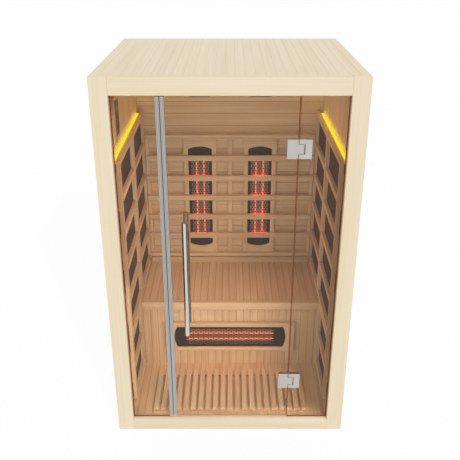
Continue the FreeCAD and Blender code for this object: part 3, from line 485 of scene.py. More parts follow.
# White marks printed on the keys
WHITE_PRINT = Coated("white_print", Slot.KEY, "#E8E6E2", "#DDDAD5", 0.5, 0.5 * MM)
# Powder-coated steel case
POWDER_COAT = Coated("grey_powder_coat", Slot.SUPPLY, "#BDBDBD", "#B2B2B2", 0.5, 0.9 * MM)
# Black nylon gland
BLACK_NYLON = Coated("black_nylon", Slot.GLAND, "#1C1C1C", "#262626", 0.5, 0.8 * MM)
# Black felt on the studio's cards
BLACK_FELT = Coated("black_felt", None, "#0C0C0C", "#141414", 0.9, 3.0 * MM, gloss=0.0)
# The studio's pale matt floor
PALE_FLOOR = Backdrop("pale_floor", None, "#EDEDED", glow=0.95)


# Shop tools, as by hand: a piece is selected and operators work on it


def pick(*pieces: Piece) -> None:
    """Select these pieces alone and make the first one active.

    Args:
        pieces: the pieces to select.
    """
    bpy.ops.object.select_all(action="DESELECT")
    for piece in pieces:
        piece.select_set(True)
    bpy.context.view_layer.objects.active = pieces[0]


def settle(*pieces: Piece) -> None:
    """Move each piece's place, turn and scale into its mesh."""
    pick(*pieces)
    bpy.ops.object.transform_apply(location=True, rotation=True, scale=True)


def added(name: str) -> Piece:
    """Name the piece that was just added, and move its place into its mesh.

    Args:
        name: the piece's name.

    Returns:
        The piece.
    """
    piece = bpy.context.object
    piece.name = piece.data.name = name
    settle(piece)
    return piece


def block(name: str, low: Point, high: Point) -> Piece:
    """Add a block between two corners.

    Args:
        name: the piece's name.
        low: its lowest corner.
        high: its highest corner.

    Returns:
        The block.
    """
    low, high = Vector(low), Vector(high)
    bpy.ops.object.select_all(action="DESELECT")
    bpy.ops.mesh.primitive_cube_add(size=1, location=(low + high) / 2, scale=high - low)
    return added(name)


def turned(name: str, radius: float, start: Point, end: Point, sides: int) -> Piece:
    """Add a round bar between two points on one axis.

    Args:
        name: the piece's name.
        radius: the bar's radius.
        start: the middle of one end.
        end: the middle of the other end.
        sides: faces round the bar.

    Returns:
        The bar.
    """
    start, end = Vector(start), Vector(end)
    bpy.ops.object.select_all(action="DESELECT")
    bpy.ops.mesh.primitive_cylinder_add(
        vertices=sides,
        radius=radius,
        depth=(end - start).length,
        location=(start + end) / 2,
        rotation=(end - start).to_track_quat("Z", "Y").to_euler(),
    )
    return added(name)


@contextmanager
def editing(
    piece: Piece, chosen: Callable[..., bool] | None = None, edges: bool = False
) -> Iterator[None]:
    """Go to edit mode with some faces or edges selected, and come back at the end.

    Args:
        piece: the piece to work on.
        chosen: a test of a face, or of an edge's two ends; without it everything is selected.
        edges: whether the test picks edges.

    Yields:
        Nothing: the operators inside the block work on the selection.
    """
    pick(piece)
    bpy.context.tool_settings.mesh_select_mode = (False, edges, not edges)
    bpy.ops.object.mode_set(mode="EDIT")
    bpy.ops.mesh.select_all(action="DESELECT" if chosen else "SELECT")
    if chosen:
        bpy.ops.object.mode_set(mode="OBJECT")
        mesh = piece.data
        for part in mesh.edges if edges else mesh.polygons:
            ends = (mesh.vertices[number].co for number in part.vertices)
            part.select = chosen(*ends) if edges else chosen(part)
        bpy.ops.object.mode_set(mode="EDIT")
    yield
    bpy.ops.object.mode_set(mode="OBJECT")


def edge_at(**places: float) -> Callable[[Vector, Vector], bool]:
    """Make a test that picks the edges at a place.

    Args:
        places: the x, y or z that both ends of an edge have.

    Returns:
        The test of an edge's two ends.
    """
    return lambda *ends: all(
        abs(getattr(end, axis) - place) < NEAR for end in ends for axis, place in places.items()
    )


def push(shift: Point, scale: Point | None = None) -> None:
    """Extrude the selected faces.

    Args:
        shift: how far they move.
        scale: how much they grow about their own middle.
    """
    bpy.ops.mesh.extrude_region_move(TRANSFORM_OT_translate={"value": tuple(shift)})
    if scale:
        bpy.ops.transform.resize(value=tuple(scale))


def ease(piece: Piece, width: float, along: Axis | None = None, segments: int = 2) -> Piece:
    """Round over a block's edges.

    Args:
        piece: the block.
        width: how far the rounding reaches on each face.
        along: the direction of the edges to round, or all of them.
        segments: faces across the rounding.

    Returns:
        The same piece.
    """

    def wanted(first: Vector, second: Vector) -> bool:
        """Test an edge's direction."""
        return along is None or abs((second - first).normalized()[along.value]) > STRAIGHT

    with editing(piece, wanted, edges=True):
        bpy.ops.mesh.bevel(offset=width, segments=segments, affect="EDGES")
    return piece


def soften(piece: Piece, width: float, segments: int = 2, angle: float = 40.0) -> Piece:
    """Round over every sharp edge with an applied bevel and smooth what is round.

    Args:
        piece: the piece.
        width: how far the rounding reaches on each face.
        segments: faces across the rounding.
        angle: the least turn of a sharp edge, in degrees.

    Returns:
        The same piece.
    """
    pick(piece)
    bevel = piece.modifiers.new("ease", "BEVEL")
    bevel.width = width
    bevel.segments = segments
    bevel.limit_method = "ANGLE"
    bevel.angle_limit = math.radians(angle)
    bpy.ops.object.modifier_apply(modifier=bevel.name)
    bpy.ops.object.shade_smooth_by_angle(angle=math.radians(angle))
    return piece


def repeat(source: Piece, shifts: Iterable[Point]) -> list[Piece]:
    """Copy a piece to further places.

    Args:
        source: the piece that is modelled once.
        shifts: how far each copy moves.

    Returns:
        The source and its copies, each with its own mesh.
    """
    row = [source]
    for shift in shifts:
        pick(source)
        bpy.ops.object.duplicate()
        twin = bpy.context.object
        twin.location = shift
        row.append(twin)
    settle(*row)
    return row


def join(name: str, pieces: Sequence[Piece]) -> Piece:
    """Join pieces into one.

    Args:
        name: the name of the whole.
        pieces: its parts.

    Returns:
        The whole.
    """
    pick(*pieces)
    if len(pieces) > 1:
        bpy.ops.object.join()
    pieces[0].name = pieces[0].data.name = name
    return pieces[0]


def mended_copy(node: str, name: str) -> Piece:
    """Copy a CAD node's mesh, weld it and make its flat faces whole.

    Args:
        node: the CAD node.
        name: the copy's name.

    Returns:
        The copy as a piece of its own.
    """
    piece = bpy.data.objects.new(name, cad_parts[node].data.copy())
    bpy.context.scene.collection.objects.link(piece)
    piece.data.materials.clear()
    with editing(piece):
        bpy.ops.mesh.remove_doubles(threshold=NEAR)
        bpy.ops.mesh.dissolve_limited(angle_limit=SAME_PLANE)
    return piece


CHANCE = Random(7)
# Painted shade: EDGE_SHADE and JOINT_SHADE set how much of the joint colour the chamfers of single
# boards and of rows take
GRAIN_REACH = 40.0  # how far apart boards lie in the pattern of the grain
EDGE_SHADE = 0.6  # how much of the joint's colour a single board's edges take
JOINT_SHADE = 0.85  # how much of it the joints of a row take


def mark_grain(piece: Piece, run: Axis, joint: float = 0.0) -> Piece:
    """Give a board its own grain: coordinates along and across it, a tone, and the painted shade of its
    chamfers.

    Args:
        piece: one board.
        run: the grain's direction.
        joint: how much of the painted joint shade its chamfers take.

    Returns:
        The same piece.
    """
    mesh = piece.data
    points = np.empty(len(mesh.vertices) * 3)
    mesh.vertices.foreach_get("co", points)
    corners = np.empty(len(mesh.loops), int)
    mesh.loops.foreach_get("vertex_index", corners)
    offset = [CHANCE.uniform(0, GRAIN_REACH) for _ in range(3)]
    values = np.roll(points.reshape(-1, 3)[corners], -run.value, axis=1) + offset
    normals = np.empty(len(mesh.polygons) * 3)
    mesh.polygons.foreach_get("normal", normals)
    sizes = np.empty(len(mesh.polygons), int)
    mesh.polygons.foreach_get("loop_total", sizes)
    slanted = np.abs(normals.reshape(-1, 3)).max(axis=1) < FLAT
    marks = np.zeros_like(values)
    marks[:, 0] = CHANCE.random()
    # Painted shade: the slanted chamfer faces are marked to take the joint colour
    marks[:, 1] = np.repeat(slanted, sizes) * joint
    for name, data in (("grain", values), ("board", marks)):
        attribute = mesh.attributes.new(name, "FLOAT_VECTOR", "CORNER")
        attribute.data.foreach_set("vector", data.astype(np.float32).ravel())
    return piece


def board(name: str, low: Point, high: Point, run: Axis, rounding: float = 1.2 * MM) -> Piece:
    """Saw one board: a block with its edges rounded over, painted shade on them, and its grain along
    it.
    """
    return mark_grain(ease(block(name, low, high), rounding), run, EDGE_SHADE)


def boards(
    name: str,
    box: Sequence[Point],
    across: Axis,
    spans: Iterable[Point],
    run: Axis,
    rounding: float = 1.2 * MM,
) -> list[Piece]:
    """Saw boards that share a box, each with its own span of it.

    Args:
        name: the boards' name.
        box: the lowest and the highest corner.
        across: the direction in which the boards follow each other.
        spans: each board's start and end in that direction.
        run: the grain's direction.
        rounding: how far the edges are rounded over.

    Returns:
        The boards.
    """
    row = []
    for span in spans:
        corners = [Vector(corner) for corner in box]
        for corner, place in zip(corners, span):
            corner[across.value] = place
        row.append(board(name, *corners, run, rounding))
    return row


def board_row(
    name: str,
    low: Vector,
    high: Vector,
    run: Axis,
    across: Axis,
    pitch: float,
    from_high: bool,
    rounding: float,
) -> Piece:
    """Lay boards side by side between two corners.

    Args:
        name: the panel's name.
        low: the panel's lowest corner.
        high: its highest corner.
        run: the boards' direction.
        across: the direction in which they follow each other.
        pitch: the width of a whole board.
        from_high: whether the first whole board lies at the high side.
        rounding: how far each board's long edges are rounded over.

    Returns:
        The panel, in which the last board is sawn to fit.
    """
    axis = across.value
    count = math.ceil((high[axis] - low[axis]) / pitch - THIN)
    near, far, pace = (1, 0, -pitch) if from_high else (0, 1, pitch)
    first, last = [Vector(low), Vector(high)], [Vector(low), Vector(high)]
    first[far][axis] = first[near][axis] + pace
    last[near][axis] += pace * (count - 1)
    step = Vector()
    step[axis] = pace
    model = ease(block(name, *first), rounding, run, 1)
    row = repeat(model, [step * number for number in range(1, count - 1)])
    row.append(ease(block(f"{name}_last", *last), rounding, run, 1))
    for piece in row:
        # Painted shade in the joints between the boards
        mark_grain(piece, run, JOINT_SHADE)
    return join(name, row)


def fit(piece: Piece, finish: Finish, *nodes: str, body: Body = Body.CABIN) -> Piece:
    """Dress a piece, put it on its body and let it stand for its CAD nodes.

    Args:
        piece: the finished mesh.
        finish: its surface.
        nodes: the CAD nodes that it stands for.
        body: the body that carries it.

    Returns:
        The same piece.
    """
    piece.data.materials.clear()
    piece.data.materials.append(finish.material())
    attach(piece, body.value)
    if nodes:
        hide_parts(*nodes)
    LOG.info("%s: %s, %d faces", piece.name, finish.name, len(piece.data.polygons))
    return piece


def face_with(piece: Piece, finish: Finish, chosen: Callable[[Face], bool]) -> None:
    """Give some faces of a dressed piece a second finish.

    Args:
        piece: the dressed piece.
        finish: the second finish.
        chosen: a test that picks the faces.
    """
    piece.data.materials.append(finish.material())
    number = len(piece.data.materials) - 1
    for face in piece.data.polygons:
        if chosen(face):
            face.material_index = number


def keep(node: str, finish: Finish) -> None:
    """Leave a CAD node's shape as it is and give it its finish.

    Args:
        node: the CAD node.
        finish: its surface.
    """
    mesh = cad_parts[node].data
    mesh.materials.clear()
    mesh.materials.append(finish.material())
    LOG.info("%s: CAD shape, %s", node, finish.name)


def middle(node: str) -> Vector:
    """Find the middle of a CAD node's box."""
    low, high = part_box(node)
    return (low + high) / 2


# Sub-assemblies


@dataclass
class FrontFrame:
    """Two posts with a header and a sill between them."""

    rounding: float = 1.5 * MM
    step_rounding: float = 18.0 * MM
    step_faces: int = 5

    def sill(self) -> Piece:
        """Saw the sill, with the edge that is stepped over well rounded.

        Returns:
            The sill.
        """
        low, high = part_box("sill")
        piece = block("sill_timber", low, high)
        with editing(piece, edge_at(y=low.y, z=high.z), edges=True):
            bpy.ops.mesh.bevel(offset=self.step_rounding, segments=self.step_faces, affect="EDGES")
        return mark_grain(soften(piece, self.rounding), Axis.X)

    def build(self) -> None:
        """Saw and dress the four timbers."""
        timbers = {"sill": self.sill()}
        for node, run in (("left_post", Axis.Z), ("right_post", Axis.Z), ("header", Axis.X)):
            timbers[node] = board(f"{node}_timber", *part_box(node), run, self.rounding)
        for node, timber in timbers.items():
            fit(timber, PALE_HEMLOCK, node)


@dataclass
class Carcass:
    """Outer walls, roof, base, linings, floor and ceiling."""

    outer_pitch: float = 44.45 * MM
    lining_pitch: float = 72.0 * MM
    floor_pitch: float = 42.0 * MM
    ceiling_pitch: float = 75.0 * MM
    joint: float = 0.9 * MM

    def build(self) -> None:
        """Lay all the boards."""
        for node, run, across, pitch, from_high, finish in (
            ("roof", Axis.Y, Axis.X, self.outer_pitch, True, PALE_HEMLOCK),
            ("left_wall", Axis.Z, Axis.Y, self.outer_pitch, False, PALE_HEMLOCK),
            ("right_wall", Axis.Z, Axis.Y, self.outer_pitch, False, PALE_HEMLOCK),
            ("back_wall", Axis.Z, Axis.X, self.outer_pitch, False, PALE_HEMLOCK),
            ("back_lining", Axis.X, Axis.Z, self.lining_pitch, False, WARM_HEMLOCK),
            ("floor_boards", Axis.Y, Axis.X, self.floor_pitch, True, WARM_HEMLOCK),
            ("ceiling", Axis.Y, Axis.X, self.ceiling_pitch, True, WARM_HEMLOCK),
        ):
            row = board_row(f"{node}_row", *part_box(node), run, across, pitch, from_high, self.joint)
            fit(row, finish, node)
        for node, name, run, finish in (
            ("left_lining", "left_lining_sheet", Axis.Z, WARM_HEMLOCK),
            ("right_lining", "right_lining_sheet", Axis.Z, WARM_HEMLOCK),
            ("floor_base", "base_plinth", Axis.X, PALE_HEMLOCK),
        ):
            fit(board(name, *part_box(node), run, self.joint), finish, node)


@dataclass
class GlassFront:
    """Fixed panes, the door's sheet, their seals and edge channels."""

    arris: float = 2.2 * MM
    edge_turn: float = 0.3
    channel_edge: float = 0.8 * MM
    flute: float = 5.0 * MM
    flute_depth: float = 1.0 * MM
    cap: float = 7.0 * MM
    hinge: float = 90.0 * MM
    seal: float = 3.0 * MM
    seal_depth: float = 4.0 * MM

    def sheet(self, node: str) -> Piece:
        """Cut one sheet and grind its long edges.

        Args:
            node: the CAD node that it stands for.

        Returns:
            The sheet with its holes and notches.
        """
        piece = mended_copy(node, f"{node}_sheet")
        sides = [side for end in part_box(node) for side in (edge_at(x=end.x), edge_at(z=end.z))]

        def outline(first: Vector, second: Vector) -> bool:
            """Pick the edges of the sheet's own outline."""
            return abs(first.y - second.y) < NEAR and any(side(first, second) for side in sides)

        with editing(piece, outline, edges=True):
            bpy.ops.mesh.bevel(offset=self.arris, segments=1, affect="EDGES")
        return piece

    def channel(self, node: str) -> Piece:
        """Draw one edge channel with a flute along its front and a seam above its foot.

        Args:
            node: the CAD node that it stands for.

        Returns:
            The channel.
        """
        piece = mended_copy(node, f"{node}_channel")
        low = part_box(node)[0]
        with editing(piece, lambda face: face.normal.y < -FACING and abs(face.center.y - low.y) < NEAR):
            bpy.ops.mesh.inset(thickness=self.flute)
            push((0, self.flute_depth, 0))
        ease(piece, self.channel_edge, Axis.Z, 1)
        with editing(piece):
            bpy.ops.mesh.bisect(plane_co=(0, 0, low.z + self.cap), plane_no=(0, 0, 1))
        return piece

    def edge_seal(self) -> Piece:
        """Cut the clear seal on the door's hinge side, in lengths that leave the hinges free.

        Returns:
            The three lengths as one piece.
        """
        low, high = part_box("door_glass")
        lower, upper = (corner.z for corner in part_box("hinge_door_leaves"))
        line, half = (low.y + high.y) / 2, self.seal_depth / 2
        lengths = [
            block("edge_seal", (high.x, line - half, foot), (high.x + self.seal, line + half, head))
            for foot, head in (
                (low.z, lower),
                (lower + self.hinge, upper - self.hinge),
                (upper, high.z),
            )
        ]
        return ease(join("door_edge_seal", lengths), self.seal / 4, Axis.Z)

    def build(self) -> None:
        """Cut the panes and close their edges."""
        panes = {"left_pane": Body.CABIN, "right_pane": Body.CABIN, "door_glass": Body.DOOR}
        for node, body in panes.items():
            sheet = fit(self.sheet(node), BRONZE_GLASS, node, body=body)
            face_with(sheet, GLASS_EDGE, lambda face: abs(face.normal.x) > self.edge_turn)
        for node, body in (("pane_profile", Body.CABIN), ("door_profile", Body.DOOR)):
            channel = fit(self.channel(node), SATIN_ALUMINIUM, node, body=body)
            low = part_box(node)[0]
            flute, cap_top = low.y + self.flute_depth, low.z + self.cap
            face_with(channel, DULL_ALUMINIUM, lambda face: abs(face.center.y - flute) < NEAR)
            face_with(channel, CREAM_NYLON, lambda face: face.center.z < cap_top)
        seals = soften(mended_copy("pane_seals", "pane_seal_strips"), self.channel_edge)
        fit(seals, AMBER_RUBBER, "pane_seals")
        strip = ease(block("closing_strip", *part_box("door_magnet_strip")), self.channel_edge, Axis.Z)
        fit(strip, SEAL_RUBBER, "door_magnet_strip", body=Body.DOOR)
        fit(self.edge_seal(), AMBER_SEAL, body=Body.DOOR)


@dataclass
class Hinges:
    """Two glass hinges with leaves, back plates, screws and pins."""

    chamfer: float = 2.0 * MM
    chamfer_deg: float = 20.0
    screw_radius: float = 5.0 * MM
    screw_edge: float = 0.4 * MM
    screw_pitch: float = 50.0 * MM
    head: float = 3.0 * MM
    socket: float = 2.2 * MM
    socket_depth: float = 1.8 * MM
    shank_radius: float = 2.5 * MM
    shank: float = 16.0 * MM

    def screw(self, x: float, back: float, z: float) -> Piece:
        """Turn one screw with a socket in its head.

        Args:
            x: its place across the front.
            back: the outer end of its head.
            z: its height.

        Returns:
            The screw.
        """
        ends = ((x, back - self.head, z), (x, back, z))
        piece = turned("hinge_screw", self.screw_radius, *ends, sides=24)
        steps = ((1, self.socket, self.socket_depth), (-1, self.shank_radius, self.shank))
        for side, radius, reach in steps:
            with editing(piece, lambda face: face.normal.y * side > FACING):
                bpy.ops.mesh.inset(thickness=self.screw_radius - radius)
                push((0, -reach, 0))
        return soften(piece, self.screw_edge)

    def build(self) -> None:
        """Mill the leaves and set the screws."""
        for half, body in (("hinge_door", Body.DOOR), ("hinge_pane", Body.CABIN)):
            for node in (f"{half}_leaves", f"{half}_back_plates"):
                plates = soften(mended_copy(node, f"{node}_milled"), self.chamfer, 1)
                bpy.ops.object.shade_smooth_by_angle(angle=math.radians(self.chamfer_deg))
                fit(plates, SATIN_NICKEL, node, body=body)
                # Painted highlight: the chamfer faces take a much lighter copy of the plating
                face_with(plates, NICKEL_CHAMFER_HIGHLIGHT, lambda face: max(map(abs, face.normal)) < FLAT)
        for node, body in (("hinge_door_screws", Body.DOOR), ("hinge_pane_screws", Body.CABIN)):
            low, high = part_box(node)
            model = self.screw(middle(node).x, high.y, low.z + self.screw_radius)
            reach = high.z - low.z - 2 * self.screw_radius
            heights = (self.screw_pitch, reach - self.screw_pitch, reach)
            row = repeat(model, [(0, 0, height) for height in heights])
            fit(join(f"{node}_set", row), SATIN_NICKEL, node, body=body)
        keep("hinge_pins", SATIN_NICKEL)


@dataclass
class Handle:
    """An upright bar on each face of the door, on two studs."""

    end_rounding: float = 1.5 * MM
    spacer: float = 8.0 * MM
    spacer_edge: float = 0.6 * MM
    stud: float = 5.0 * MM
    glass: float = 8.0 * MM
    stud_spacing: float = 400.0 * MM

    def standoff(self) -> Piece:
        """Turn one spacer, stud and spacer.

        Returns:
            The lower standoff.
        """
        low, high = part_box("handle_standoffs")
        x, line, _ = middle("handle_standoffs")
        z, face = low.z + self.spacer, line - self.glass / 2
        grow = self.spacer / self.stud
        piece = turned("standoff", self.spacer, (x, low.y, z), (x, face, z), sides=40)
        with editing(piece, lambda face: face.normal.y > FACING):
            bpy.ops.mesh.inset(thickness=self.spacer - self.stud)
            push((0, self.glass, 0))
            push((0, 0, 0), (grow, 1, grow))
            push((0, high.y - face - self.glass, 0))
        return soften(piece, self.spacer_edge)

    def build(self) -> None:
        """Turn the bars and the standoffs."""
        for node in ("outer_handle", "inner_handle"):
            low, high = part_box(node)
            x, y, _ = middle(node)
            bar = turned(f"{node}_bar", (high.x - low.x) / 2, (x, y, low.z), (x, y, high.z), sides=64)
            fit(soften(bar, self.end_rounding, 3), BRUSHED_STEEL, node, body=Body.DOOR)
        pair = repeat(self.standoff(), [(0, 0, self.stud_spacing)])
        fit(join("standoff_pair", pair), BRUSHED_STEEL, "handle_standoffs", body=Body.DOOR)


@dataclass
class SideWalls:
    """Lattices over the side heaters, with their cleats and corner lights."""

    stile: float = 30.0 * MM
    middle_stile: float = 50.0 * MM
    rear_lower: float = 40.0 * MM
    bar: float = 31.0 * MM
    lower_top: float = 38.0 * MM
    upper_cells: int = 5
    light: float = 18.0 * MM
    rounding: float = 1.0 * MM

    def lattice(self, node: str, upper: bool) -> Piece:
        """Saw one lattice.

        Args:
            node: the CAD node that it stands for.
            upper: whether it is an upper one, with a middle stile and more rails.

        Returns:
            Its uprights and rails as one piece.
        """
        low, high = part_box(node)
        rear = self.stile if upper else self.rear_lower
        stiles = [(low.y, low.y + self.stile), (high.y - rear, high.y)]
        if upper:
            line, half = (low.y + high.y) / 2, self.middle_stile / 2
            stiles.insert(1, (line - half, line + half))
            count = self.upper_cells + 1
            cell = (high.z - low.z - count * self.bar) / self.upper_cells
            feet = [low.z + step * (cell + self.bar) for step in range(count)]
            rails = [(foot, foot + self.bar) for foot in feet]
        else:
            cell = (high.z - low.z - self.lower_top - 2 * self.bar) / 2
            feet = (low.z, low.z + self.bar + cell)
            rails = [(foot, foot + self.bar) for foot in feet] + [(high.z - self.lower_top, high.z)]
        pieces = boards(f"{node}_stile", (low, high), Axis.Y, stiles, Axis.Z, self.rounding)
        for (_, front), (back, _) in zip(stiles, stiles[1:]):
            box = ((low.x, front, low.z), (high.x, back, high.z))
            pieces += boards(f"{node}_rail", box, Axis.Z, rails, Axis.Y, self.rounding)
        return join(f"{node}_lattice", pieces)

    def build(self) -> None:
        """Build and dress both walls."""
        for side in ("left", "right"):
            for level in ("upper", "lower"):
                node = f"{side}_{level}_grille"
                fit(self.lattice(node, level == "upper"), WARM_HEMLOCK, node)
        keep("side_heater_panels", CARBON_FILM)
        low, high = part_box("corner_lights")
        bar = ease(block("light_bar", low, (low.x + self.light, high.y, high.z)), self.rounding)
        pair = repeat(bar, [(high.x - low.x - self.light, 0, 0)])
        fit(join("light_bar_pair", pair), YELLOW_DIFFUSER, "corner_lights")
        cleats = mark_grain(mended_copy("grille_cleats", "grille_cleat_blocks"), Axis.Z)
        fit(cleats, WARM_HEMLOCK, "grille_cleats")


@dataclass
class Bench:
    """Seat boards, nosing, front panel, bearers and the strip along the wall."""

    pitch: float = 42.0 * MM
    joint: float = 1.2 * MM
    nosing_rounding: float = 3.0 * MM

    def build(self) -> None:
        """Lay the bench."""
        rows = (("bench_seat", "seat_row", Axis.Y), ("bench_front", "bench_front_row", Axis.Z))
        for node, name, run in rows:
            row = board_row(name, *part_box(node), run, Axis.X, self.pitch, True, self.joint)
            fit(row, WARM_HEMLOCK, node)
        for node, name, rounding in (
            ("bench_nosing", "seat_nosing", self.nosing_rounding),
            ("bench_skirting", "seat_skirting", self.joint),
        ):
            fit(board(name, *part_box(node), Axis.X, rounding), WARM_HEMLOCK, node)
        bearers = mark_grain(mended_copy("bench_bearers", "seat_bearers"), Axis.Y)
        fit(bearers, WARM_HEMLOCK, "bench_bearers")


@dataclass
class Backrest:
    """Level bars and rails on three uprights."""

    bar: float = 33.0 * MM
    rail: float = 24.0 * MM
    pitch: float = 127.0 * MM
    bars: int = 5
    end_stile: float = 20.0 * MM
    middle_stile: float = 28.0 * MM
    bar_rounding: float = 2.0 * MM
    stile_rounding: float = 1.0 * MM

    def build(self) -> None:
        """Saw the bars and the uprights."""
        low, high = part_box("backrest_bars")
        reach = self.bars // 2
        lines = [middle("backrest_bars").z + step * self.pitch for step in range(-reach, reach + 1)]
        levels = [(line - self.bar / 2, line + self.bar / 2) for line in lines]
        levels += [(low.z, low.z + self.rail), (high.z - self.rail, high.z)]
        pieces = boards("backrest_bar", (low, high), Axis.Z, levels, Axis.X, self.bar_rounding)
        fit(join("backrest_bar_set", pieces), WARM_HEMLOCK, "backrest_bars")
        low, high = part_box("backrest_stiles")
        end, half = self.end_stile, self.middle_stile / 2
        spans = ((low.x, low.x + end), (-half, half), (high.x - end, high.x))
        pieces = boards("backrest_upright", (low, high), Axis.X, spans, Axis.Z, self.stile_rounding)
        fit(join("backrest_upright_set", pieces), WARM_HEMLOCK, "backrest_stiles")


@dataclass
class Heaters:
    """Three heater units: wooden frame, black guard, two tubes and a reflector."""

    width: float = 200.0 * MM
    length: float = 760.0 * MM
    depth: float = 25.0 * MM
    window: float = 142.0 * MM
    window_length: float = 658.0 * MM
    arch: float = 17.0 * MM
    arch_cuts: int = 15
    stile_step: float = 1.5 * MM
    edge: float = 1.2 * MM
    rod_spacing: float = 42.0 * MM
    rod_radius: float = 5.0 * MM
    rod_edge: float = 0.8 * MM
    cap: float = 22.0 * MM
    spacing: float = 360.0 * MM

    def end_block(self) -> Piece:
        """Saw the upper end block of an upright frame, with the arch in its lower edge.

        Returns:
            The block, about the frame's own middle with its front at zero.
        """
        half = self.window / 2
        foot = self.window_length / 2 - self.arch
        piece = block("heater_end", (-half, 0, foot), (half, self.depth, self.length / 2))
        with editing(piece, lambda first, second: abs(first.x - second.x) > half, edges=True):
            bpy.ops.mesh.subdivide(number_cuts=self.arch_cuts)
        radius = (half**2 + self.arch**2) / (2 * self.arch)
        for step in range(1, self.arch_cuts + 1):
            x = -half + 2 * half * step / (self.arch_cuts + 1)
            rise = self.arch - radius + math.sqrt(radius**2 - x**2)
            with editing(piece, edge_at(x=x, z=foot), edges=True):
                bpy.ops.transform.translate(value=(0, 0, rise))
        for side in (-1, 1):
            with editing(piece, lambda face: face.normal.x * side > FACING):
                push((side * (self.width - self.window) / 2, 0, 0))
        return soften(piece, self.edge)

    def frame(self) -> list[Piece]:
        """Saw an upright frame about its own middle: two end blocks and two stiles.

        Returns:
            The four boards.
        """
        top = self.end_block()
        foot = repeat(top, [(0, 0, 0)])[1]
        foot.rotation_euler = (0, math.pi, 0)
        settle(foot)
        edge, inner = self.width / 2 - self.stile_step, self.window / 2
        head = self.window_length / 2 - self.arch
        stiles = [
            block("heater_stile", (left, self.stile_step, -head), (right, self.depth, head))
            for left, right in ((-edge, -inner), (inner, edge))
        ]
        for piece in stiles:
            soften(piece, self.edge)
        timbers = [top, foot, *stiles]
        for piece, run in zip(timbers, (Axis.X, Axis.X, Axis.Z, Axis.Z)):
            mark_grain(piece, run)
        return timbers

    def rods(self, length: float, depth: float) -> list[Piece]:
        """Draw a pair of upright tubes about their own middle, with a ceramic cap at each end.

        Args:
            length: the tubes' length.
            depth: how far they lie behind the unit's front.

        Returns:
            The two tubes.
        """
        x = -self.rod_spacing / 2
        ends = ((x, depth, -length / 2), (x, depth, length / 2))
        piece = turned("heater_rod", self.rod_radius, *ends, sides=20)
        for side in (-1, 1):
            with editing(piece):
                seam = side * (length / 2 - self.cap)
                bpy.ops.mesh.bisect(plane_co=(0, 0, seam), plane_no=(0, 0, 1))
        return repeat(soften(piece, self.rod_edge), [(self.rod_spacing, 0, 0)])

    def set_up(self, pieces: Sequence[Piece], place: Point, lying: bool) -> list[Piece]:
        """Copy pieces drawn about their own middle to one unit's place.

        Args:
            pieces: the upright pieces.
            place: the middle of the unit's front.
            lying: whether the unit lies on its side.

        Returns:
            The copies in place.
        """
        copies = []
        for piece in pieces:
            twin = repeat(piece, [(0, 0, 0)])[1]
            twin.rotation_euler = (0, math.pi / 2 if lying else 0, 0)
            twin.location = place
            settle(twin)
            copies.append(twin)
        return copies

    def build(self) -> None:
        """Saw the frames, draw the tubes and dress the units."""
        low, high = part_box("heater_frames")
        front, upright = high.y - self.depth, high.z - self.length / 2
        side = self.spacing / 2
        rods_low, rods_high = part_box("heater_rods")
        length = rods_high.x - rods_low.x
        timbers = self.frame()
        pair = self.rods(length, rods_high.y - self.rod_radius - front)
        frames, tubes = [], []
        for place, lying in (
            ((-side, front, upright), False),
            ((side, front, upright), False),
            ((0, low.y, low.z + self.width / 2), True),
        ):
            frames += self.set_up(timbers, place, lying)
            tubes += self.set_up(pair, place, lying)
        for piece in (*timbers, *pair):
            bpy.data.objects.remove(piece)
        fit(join("heater_frame_set", frames), WARM_HEMLOCK, "heater_frames")
        tube_set = fit(join("heater_tube_set", tubes), HOT_QUARTZ, "heater_rods")
        reach, halfway = length / 2 - self.cap, (low.y + high.y) / 2

        def on_cap(face: Face) -> bool:
            """Pick the faces of the ceramic ends."""
            x, y, z = face.center
            return abs(x) > reach if y < halfway else abs(z - upright) > reach

        face_with(tube_set, STEATITE, on_cap)
        keep("heater_faces", BLACK_ENAMEL)
        keep("heater_reflectors", ETCHED_ALUMINIUM)


@dataclass
class FloorMat:
    """Slats on a front and a rear bearer."""

    slats: int = 21
    slat: float = 27.0 * MM
    bearer: float = 40.0 * MM
    rounding: float = 1.5 * MM

    def build(self) -> None:
        """Saw one slat and copy it across."""
        low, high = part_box("floor_mat_slats")
        pitch = (high.x - low.x - self.slat) / (self.slats - 1)
        model = ease(block("mat_slat", low, (low.x + self.slat, high.y, high.z)), self.rounding)
        row = repeat(model, [(pitch * step, 0, 0) for step in range(1, self.slats)])
        for slat in row:
            mark_grain(slat, Axis.Y)
        fit(join("mat_slat_row", row), WARM_HEMLOCK, "floor_mat_slats")
        low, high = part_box("floor_mat_bearers")
        spans = ((low.y, low.y + self.bearer), (high.y - self.bearer, high.y))
        pair = boards("mat_bearer", (low, high), Axis.Y, spans, Axis.X)
        fit(join("mat_bearer_pair", pair), WARM_HEMLOCK, "floor_mat_bearers")


# The bars of each key's mark in mm: across, up, width and height
KEY_MARKS = {
    Body.KEY_POWER: (
        (0, 1.5, 1.2, 5.0),
        (-2.6, -0.5, 1.2, 4.0),
        (2.6, -0.5, 1.2, 4.0),
        (0, -2.6, 5.0, 1.2),
    ),
    Body.KEY_LIGHT: ((0, 0, 3.4, 3.4), (-4.4, 0, 2.4, 1.1), (4.4, 0, 2.4, 1.1), (0, 3.9, 1.1, 2.0)),
    Body.KEY_DOWN: ((0, 0, 7.0, 1.4),),
    Body.KEY_UP: ((0, 0, 7.0, 1.4), (0, 0, 1.4, 7.0)),
}


